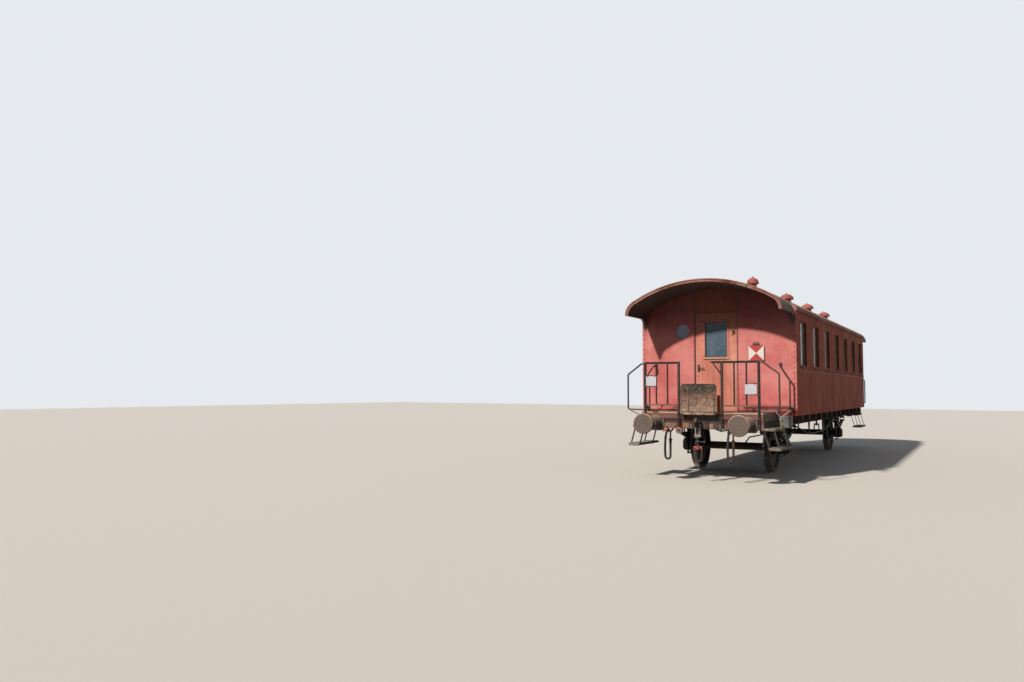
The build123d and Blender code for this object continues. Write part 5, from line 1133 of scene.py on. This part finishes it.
def platform_chains():
    """Gangway chain hung in a loop from the left low rail: long links, each turned a quarter against the
    last."""
    count = 12
    share = np.linspace(0, 1, count)
    x = -1.03 + 0.3 * share
    z = 1.385 - 0.085 * (1 - (2 * share - 1) ** 2)
    turn = around(12)
    a, b = 0.021 * np.cos(turn), 0.012 * np.sin(turn)
    patches = []
    for i in range(count):
        before, after = max(i - 1, 0), min(i + 1, count - 1)
        lean = np.arctan2(z[after] - z[before], x[after] - x[before])
        run, up = np.cos(lean), np.sin(lean)
        if i % 2:
            path = points_at(x[i] + run * a - up * b, CHAIN_Y, z[i] + up * a + run * b)
        else:
            path = points_at(x[i] + run * a, CHAIN_Y + b, z[i] + up * a)
        patches.append(sweep(path, ring_section(0.005, 6), (0, 1, 0) if i % 2 else (-up, 0, run), True))
    hook = turned([(0, 0), (0.007, 0), (0.007, 0.012), (0.012, 0.015), (0, 0.017)], 10)
    hooks = copies(hook, points_at([-1.035, -0.725], RAILING_FACE, 1.388), TO_END)
    return both_ends(join([*patches, hooks]))


def marker_plate_clips():
    """Spring clips on the marker plates' upper and lower edges, near end only."""
    back, front = -5.836, -5.8395
    patches = []
    for centre, z in MARKER_CENTRES:
        for x in (centre - 0.07, centre + 0.07):
            patches.append(bars((x - 0.012, front, z + 0.08), (x + 0.012, back, z + 0.102), Z, 0.001))
            patches.append(bars((x - 0.008, front, z - 0.102), (x + 0.008, back, z - 0.085), Z, 0.001))
    return join(patches)


pieces((centre_post_holes, grey_plate, "railing_paint"),
       (railing_bolts, grey_plate, "railing_paint"),
       (gate_arm_knobs, black_bar, "railing_paint"),
       (platform_chains, black_bar, "hook_steel"),
       (marker_plate_clips, black_bar, "railing_paint"))


# Platforms

# Front edge of the near platform and face of its headstock
FRONT = -HEADSTOCK_Y


def headstock_pads():
    """Cast pads on the headstock's face beside the hook: four bars with broken edges, 12 mm proud."""
    left, right, low, high = np.array([(-0.345, -0.222, 0.985, 1.088), (-0.205, -0.165, 0.985, 1.06),
                                       (0.165, 0.235, 0.98, 1.075), (0.355, 0.38, 0.98, 1.06)]).T
    pads = bars(points_at(left, FRONT - 0.012, low), points_at(right, FRONT + 0.001, high), Y, 0.004)
    return both_ends(pads)


def platform_edge_irons():
    """Edge irons over the deck's front and its two open sides, lipped down over the headstock."""
    low, high = 1.222, 1.262
    front = bars((-1.146, FRONT - 0.016, 1.15), (1.146, FRONT + 0.002, high), X, 0.003)
    side = bars((1.143, FRONT, low), (1.151, -END_WALL_Y - 0.002, high), Y)
    return both_ends(join([front, both_sides(side)]))


def platform_nosings():
    """Cream nosing along the deck's front edge: a flat with broken edges."""
    return both_ends(bars((-1.148, FRONT - 0.02, 1.262), (1.148, FRONT + 0.03, 1.2805), X, 0.004))


def gangway_tread_plates():
    """Tread plate in the gangway: a sheet 3 mm thick with diamond studs 45 mm apart."""
    pitch, top = 0.045, FLOOR_TOP + 0.003
    sheet = bars((-0.36, FRONT + 0.06, FLOOR_TOP - 0.001), (0.36, -END_WALL_Y - 0.03, top), X, 0.001)
    u, v = np.meshgrid(np.arange(-0.33, 0.34, pitch), np.arange(FRONT + 0.09, -END_WALL_Y - 0.05, pitch))
    stud = placed(turned([(0, 0), (0.012, 0), (0.007, 0.0018), (0, 0.002)], 4), scale=(1.0, 0.45, 1.0))
    return both_ends(join([sheet, copies(stud, points_at(u.ravel(), v.ravel(), top), spin=np.pi / 4)]))


def fall_plate_trim():
    """Stiffener along a fall plate's top edge, a strip at its foot and two straps between, each 4 mm
    thick."""
    front, back, foot = -FALL_PLATE_Y - 0.003, -FALL_PLATE_Y + 0.001, 1.299
    level = bars([(-0.29, front, 1.797), (-0.34, front, 1.287)],
                 [(0.29, back, 1.811), (0.34, back, foot)], X, 0.001)
    straps = bars([(-0.19, front, foot), (0.296, front, foot)],
                  [(-0.178, back, 1.53), (0.306, back, 1.6)], Z, 0.001)
    return join([level, straps])


pieces((headstock_pads, chipped_casting, "headstock_paint"),
       (platform_edge_irons, headstock_red, "headstock_paint"),
       (platform_nosings, edge_cream, "headstock_paint"),
       (gangway_tread_plates, grey_plate, "fall_plate_steel"))
for end, turn in ENDS:
    trim = placed(fall_plate_trim(), scale=(turn, turn, 1))
    piece(f"fall_plate_{end}_trim", trim, black_bar, f"bridge_plate_{end}")


# Ends and underframe

PIPE_MOUTH = (HEATING_X, FRONT - 0.099, FRAME_BOTTOM - 0.034)
AXLEBOX_MID_Z = AXLE_Z - 0.005


def headstock_bolts():
    """Bolts of the buffer bases and of the hook plate, and rivets along the headstock's lower edge."""
    base = [(BUFFER_X + a, FRONT - 0.022, BUFFER_Z - 0.015 + b) for a in (-0.13, 0.13) for b in (-0.1, 0.1)]
    plate = [(a, FRONT - 0.016, BUFFER_Z + b) for a in (-0.115, 0.115) for b in (-0.075, 0.02)]
    run = np.arange(-1.1, 1.11, 0.11)
    covered = ((abs(run) > 0.38) & (abs(run) < 0.44)) | ((abs(run) > 0.69) & (abs(run) < 1.06))
    rivets = copies(RIVET, points_at(run[~covered], FRONT, FRAME_BOTTOM + 0.035), TO_END)
    return both_ends(join([both_sides(copies(BOLT, base, TO_END)), copies(BOLT, plate, TO_END), rivets]))


def heating_flanges():
    """Flange with a seal ring on the mouth of each heating pipe, turned about the pipe's level axis, and
    four bolts."""
    flange = turned([(0.018, -0.02), (0.05, -0.02), (0.062, -0.012), (0.062, 0.004), (0.045, 0.008),
                     (0.034, 0.016), (0.024, 0.012), (0.018, -0.02)], 28)
    turn = around(4) + np.pi / 4
    spots = PIPE_MOUTH + points_at(0.052 * np.cos(turn), -0.005, 0.052 * np.sin(turn))
    bolts = copies(placed(BOLT, scale=0.6), spots, TO_END)
    return both_ends(join([copies(flange, PIPE_MOUTH, TO_END), bolts]))


def heating_pipe_mouth_shades():
    """Painted shade in the mouth of each heating pipe: a flat black disc inside the seal ring."""
    disc = turned([(0, -0.004), (0.024, -0.004), (0.024, 0), (0, 0)], 20)
    return both_ends(copies(disc, np.add(PIPE_MOUTH, (0, -0.0115, 0)), TO_END))


def cock_levers():
    """Lever and gland nut on the left air cock of each end: two crossed bars with broken edges on a six
    sided nut."""
    x, y, z = HOSES[1][1], FRONT - 0.09, FRAME_BOTTOM - 0.03
    nut = turned([(0, -0.02), (0.03, -0.02), (0.03, 0.012), (0.02, 0.02), (0, 0.02)], 6)
    arms, faces = join([bars((-0.062, -0.008, -0.011), (0.062, 0.004, 0.011), X, 0.003),
                        bars((-0.011, -0.010, -0.05), (0.011, 0.002, 0.05), Z, 0.003)])
    c, s = np.cos(0.45), np.sin(0.45)
    arms = arms @ np.array([(c, 0, s), (0, 1, 0), (-s, 0, c)])
    return both_ends(join([copies(nut, (x, y - 0.02, z), TO_END), placed((arms, faces), (x, y - 0.034, z))]))


def hose_clamps():
    """Band clamps at both ends of each hose: a short ring round the rubber."""
    inner, outer, half = 0.0205, 0.0235, 0.009
    ring = turned([(inner, -half), (outer, -half), (outer, half), (inner, half), (inner, -half)], 20)
    patches = []
    for _, x in HOSES:
        for point, ahead, drop in ((HOSE_ROUTE[1], HOSE_ROUTE[2] - HOSE_ROUTE[1], 0),
                                   (HOSE_ROUTE[-1], HOSE_ROUTE[-1] - HOSE_ROUTE[-2], 0.02)):
            place = hose_start(x) + (point - (0, 0, drop)) * (1, -1, 1)
            patches.append(copies(ring, place, ahead * (1, -1, 1)))
    return both_ends(join(patches))


def coupling_threads():
    """Screw threads of the couplings: turned ridges 8 mm apart, with a boss on their middle."""
    low, high, turns = 0.676, 0.826, 41
    ridges = np.stack([0.0215 + 0.0035 * (np.arange(turns) % 2), np.linspace(low, high, turns)], -1)
    screw = turned([(0, low), *ridges, (0, high)], 20)
    boss = turned([(0, 0.722), (0.03, 0.722), (0.034, 0.73), (0.034, 0.768), (0.03, 0.776), (0, 0.776)], 12)
    return both_ends(placed(join([screw, boss]), (0, -COUPLING_Y, 0)))


def running_gear_bolts():
    """Cover bolts of the axleboxes, shackle nuts of the springs, rivets of the axle guards and of their
    wings."""
    cover = [(1.1135, -AXLE_Y + a, AXLEBOX_MID_Z + b) for a in (-0.068, 0.068) for b in (-0.066, 0.066)]
    pins = [(1.088, side * a - AXLE_Y, z) for side in (-1, 1) for a, z in ((0.606, 0.8557), (0.628, 0.939))]
    legs = [(0.985, side * a - AXLE_Y, z) for side in (-1, 1) for a in (0.135, 0.18)
            for z in np.arange(0.36, 0.58, 0.07)]
    wings = [(0.995, side * a - AXLE_Y, z) for side in (-1, 1) for a in np.arange(0.06, 0.46, 0.09)
             for z in (1.02, 1.12)]
    kinds = ((placed(BOLT, scale=0.8), cover), (BOLT, pins), (RIVET, legs), (RIVET, wings))
    return four_corners(join([copies(shape, places, TO_SIDE) for shape, places in kinds]))


def axlebox_caps():
    """Domed boss on each axlebox cover and the oil filler's lid on top: turned profiles."""
    boss = turned([(0, -0.002), (0.052, -0.002), (0.048, 0.006), (0.03, 0.009), (0, 0.01)], 28)
    lid = turned([(0, 0), (0.018, 0), (0.018, 0.012), (0.012, 0.02), (0, 0.022)], 12)
    return four_corners(join([copies(boss, (1.114, -AXLE_Y, AXLEBOX_MID_Z), TO_SIDE),
                              copies(lid, (1.075, -AXLE_Y + 0.085, AXLE_Z + 0.125))]))


def spring_clips():
    """Clips round the leaves half way out: a flat bent round the leaves, as four bars each."""
    low, high, inner, outer = 0.735, 0.802, 0.984, 1.072
    patches = []
    for y in (-AXLE_Y - 0.3, -AXLE_Y + 0.3):
        for x in (inner, 1.067):
            patches.append(bars((x, y - 0.02, low), (x + 0.005, y + 0.02, high), Z, 0.001))
        for z in (high - 0.002, low - 0.004):
            patches.append(bars((inner, y - 0.02, z), (outer, y + 0.02, z + 0.006), X, 0.001))
    return four_corners(join(patches))


def solebar_rivets():
    """Rivets along the solebars' upper edge, 170 mm apart, and the nuts at the truss rods' ends."""
    rivets = copies(RIVET, points_at(0.995, np.arange(-5.2, 5.21, 0.17), 1.17), TO_SIDE)
    nuts = copies(BOLT, [(1.028, -2.606, 0.945), (1.028, 2.606, 0.945)], (0, 1, 0))
    return both_sides(join([rivets, nuts]))


def corner_plate_bolts():
    """Bolts down the outer edge of the corner plates and at their inner corners."""
    spots = [(1.4, 1.04), (1.4, 1.11), (1.4, 1.18), (1.33, 1.19), (1.26, 1.03)]
    return four_corners(copies(BOLT, [(x, END_FACE, z) for x, z in spots], TO_END))


pieces((headstock_bolts, headstock_red, "headstock_paint"),
       (heating_flanges, flange_pink, "cock_paint"),
       (heating_pipe_mouth_shades, black_bar, "cock_paint"),
       (cock_levers, vent_coral, "cock_paint"),
       (hose_clamps, forged_iron, "hook_steel"),
       (coupling_threads, coupling_iron, "hook_steel"),
       (running_gear_bolts, cast_iron, "box_iron"),
       (axlebox_caps, cast_iron, "box_iron"),
       (spring_clips, cast_iron, "spring_steel"),
       (solebar_rivets, frame_iron, "frame_paint"),
       (corner_plate_bolts, grey_plate, "plate_grey"))


# Saloon


def saloon_ceiling():
    """Ceiling panel 64 mm under the roof's arc, 6 mm thick, clipped at the walls."""
    angle = np.linspace(-0.6, 0.6, 41)
    ring = np.concatenate([on_roof(angle, 0, 0.064), on_roof(angle[::-1], 0, 0.07)])[:, [X, Z]]
    ring[:, 0] = np.clip(ring[:, 0], -INNER_X + 0.002, INNER_X - 0.002)
    return straight(ring, -INNER_Y + 0.002, INNER_Y - 0.002)


def ceiling_lamps():
    """Three round lamps along the ceiling's middle: a rim and a shallow bowl, turned about an upright
    axis."""
    z = ROOF_CENTRE_Z + ROOF_RADIUS - 0.07
    bowl = turned([(0, 0.002), (0.11, 0.002), (0.115, -0.012), (0.1, -0.022), (0.09, -0.045), (0.05, -0.072),
                   (0, -0.08)], 32)
    return join([placed(bowl, (0, y, z)) for y in (-2 * WINDOW_PITCH, 0, 2 * WINDOW_PITCH)])


def luggage_racks():
    """Rack over each row of windows: three rails along the saloon, cross rods on them, brackets to the
    wall."""
    z = 3.06
    rails = [sweep([(x, -4.6, z + up), (x, 4.6, z + up)], ring_section(0.008, 8))
             for x, up in ((1.45, 0), (1.3, 0.012), (1.18, 0.03))]
    y = np.arange(-4.5, 4.51, 0.15)
    rods = bars(points_at(1.18, y - 0.004, z - 0.004), points_at(1.46, y + 0.004, z + 0.004), X, 0.001)
    y = WINDOW_YS[:-1] + WINDOW_PITCH / 2
    arms = bars(points_at(1.2, y - 0.012, z - 0.02), points_at(INNER_X - 0.002, y + 0.012, z - 0.005), X)
    return both_sides(join([*rails, rods, arms]))


pieces((saloon_ceiling, cream_lining, "roof_paint"),
       (ceiling_lamps, blank_plate, "plate_paint"),
       (luggage_racks, hand_iron, "grab_steel"))


# Stage

FLOOR_HALF = 60
# Width of the photograph and the length of its lens, in pixels
PHOTO_WIDTH, LENS_PIXELS = 1024, 795.25
FILM_WIDTH = 36.0
# Where it was taken from: to the right, before the coach's middle and up.
# Then its bearing, rise and tilt in radians
EYE = (4.5687, -20.3757, 1.7026)
YAW, PITCH, ROLL = -0.536136, 0.060394, 0.003756
# Where the sun stands, seen from the coach
SUN_BACK = (-0.31, -1.0, 0.82)


def seen_rays(tree):
    """One for rays that the camera sends, straight or by metal and glass, nought for the others."""
    rays = add(tree, "LightPath", out=None)
    seen = add(tree, "Math", {0: rays["Is Camera Ray"], 1: rays["Is Glossy Ray"]}, operation="MAXIMUM")
    return add(tree, "Math", {0: seen, 1: rays["Is Transmission Ray"]}, operation="MAXIMUM")


def floor_paint(tree):
    """Floor: pale where the camera sees it, also in metal and glass, and a middle grey for the light it
    throws back."""
    seen = seen_rays(tree)
    return {"Base Color": add(tree, "Mix", {0: seen, 6: linear("#746E67"), 7: linear("#E9E7E4")}, **COLOUR)}


floor_mesh = bpy.data.meshes.new("studio_floor")
corners = [(-FLOOR_HALF, -FLOOR_HALF, 0), (FLOOR_HALF, -FLOOR_HALF, 0), (FLOOR_HALF, FLOOR_HALF, 0),
           (-FLOOR_HALF, FLOOR_HALF, 0)]
floor_mesh.from_pydata(corners, [], [(0, 1, 2, 3)])
floor_mesh.materials.append(finish("studio_floor", floor_paint, Roughness=0.9))
floor = bpy.data.objects.new("studio_floor", floor_mesh)
bpy.context.scene.collection.objects.link(floor)

world = bpy.data.worlds.new("studio")
bpy.context.scene.world = world
world.use_nodes = True
sky = world.node_tree
sky.nodes.clear()
fill = add(sky, "Background", {"Color": linear("#E4EAF2"), "Strength": 0.115})
backdrop = add(sky, "Background", {"Color": linear("#E6EAEE"), "Strength": 1.0})
shown = add(sky, "MixShader", {0: seen_rays(sky), 1: fill, 2: backdrop})
add(sky, "OutputWorld", {"Surface": shown}, out=None)

key = bpy.data.lights.new("key", "SUN")
key.energy = 3.6
key.angle = np.radians(2.6)
key.color = linear("#FFF4E6")[:3]
key_lamp = bpy.data.objects.new("key", key)
key_lamp.rotation_euler = Vector(SUN_BACK).to_track_quat("Z", "Y").to_euler()
bpy.context.scene.collection.objects.link(key_lamp)

ahead = np.array([np.sin(YAW) * np.cos(PITCH), np.cos(YAW) * np.cos(PITCH), np.sin(PITCH)])
right = np.array([np.cos(YAW), -np.sin(YAW), 0.0])
rise = np.cross(right, ahead)
right, rise = np.cos(ROLL) * right + np.sin(ROLL) * rise, np.cos(ROLL) * rise - np.sin(ROLL) * right
camera_data = bpy.data.cameras.new("camera")
camera_data.lens = LENS_PIXELS * FILM_WIDTH / PHOTO_WIDTH
camera_data.sensor_width = FILM_WIDTH
camera_data.clip_end = 300.0
camera = bpy.data.objects.new("camera", camera_data)
camera.matrix_world = Matrix([*np.column_stack([right, rise, -ahead, EYE]).tolist(), (0, 0, 0, 1)])
bpy.context.scene.collection.objects.link(camera)
bpy.context.scene.camera = camera
bpy.context.scene.view_settings.view_transform = "Standard"
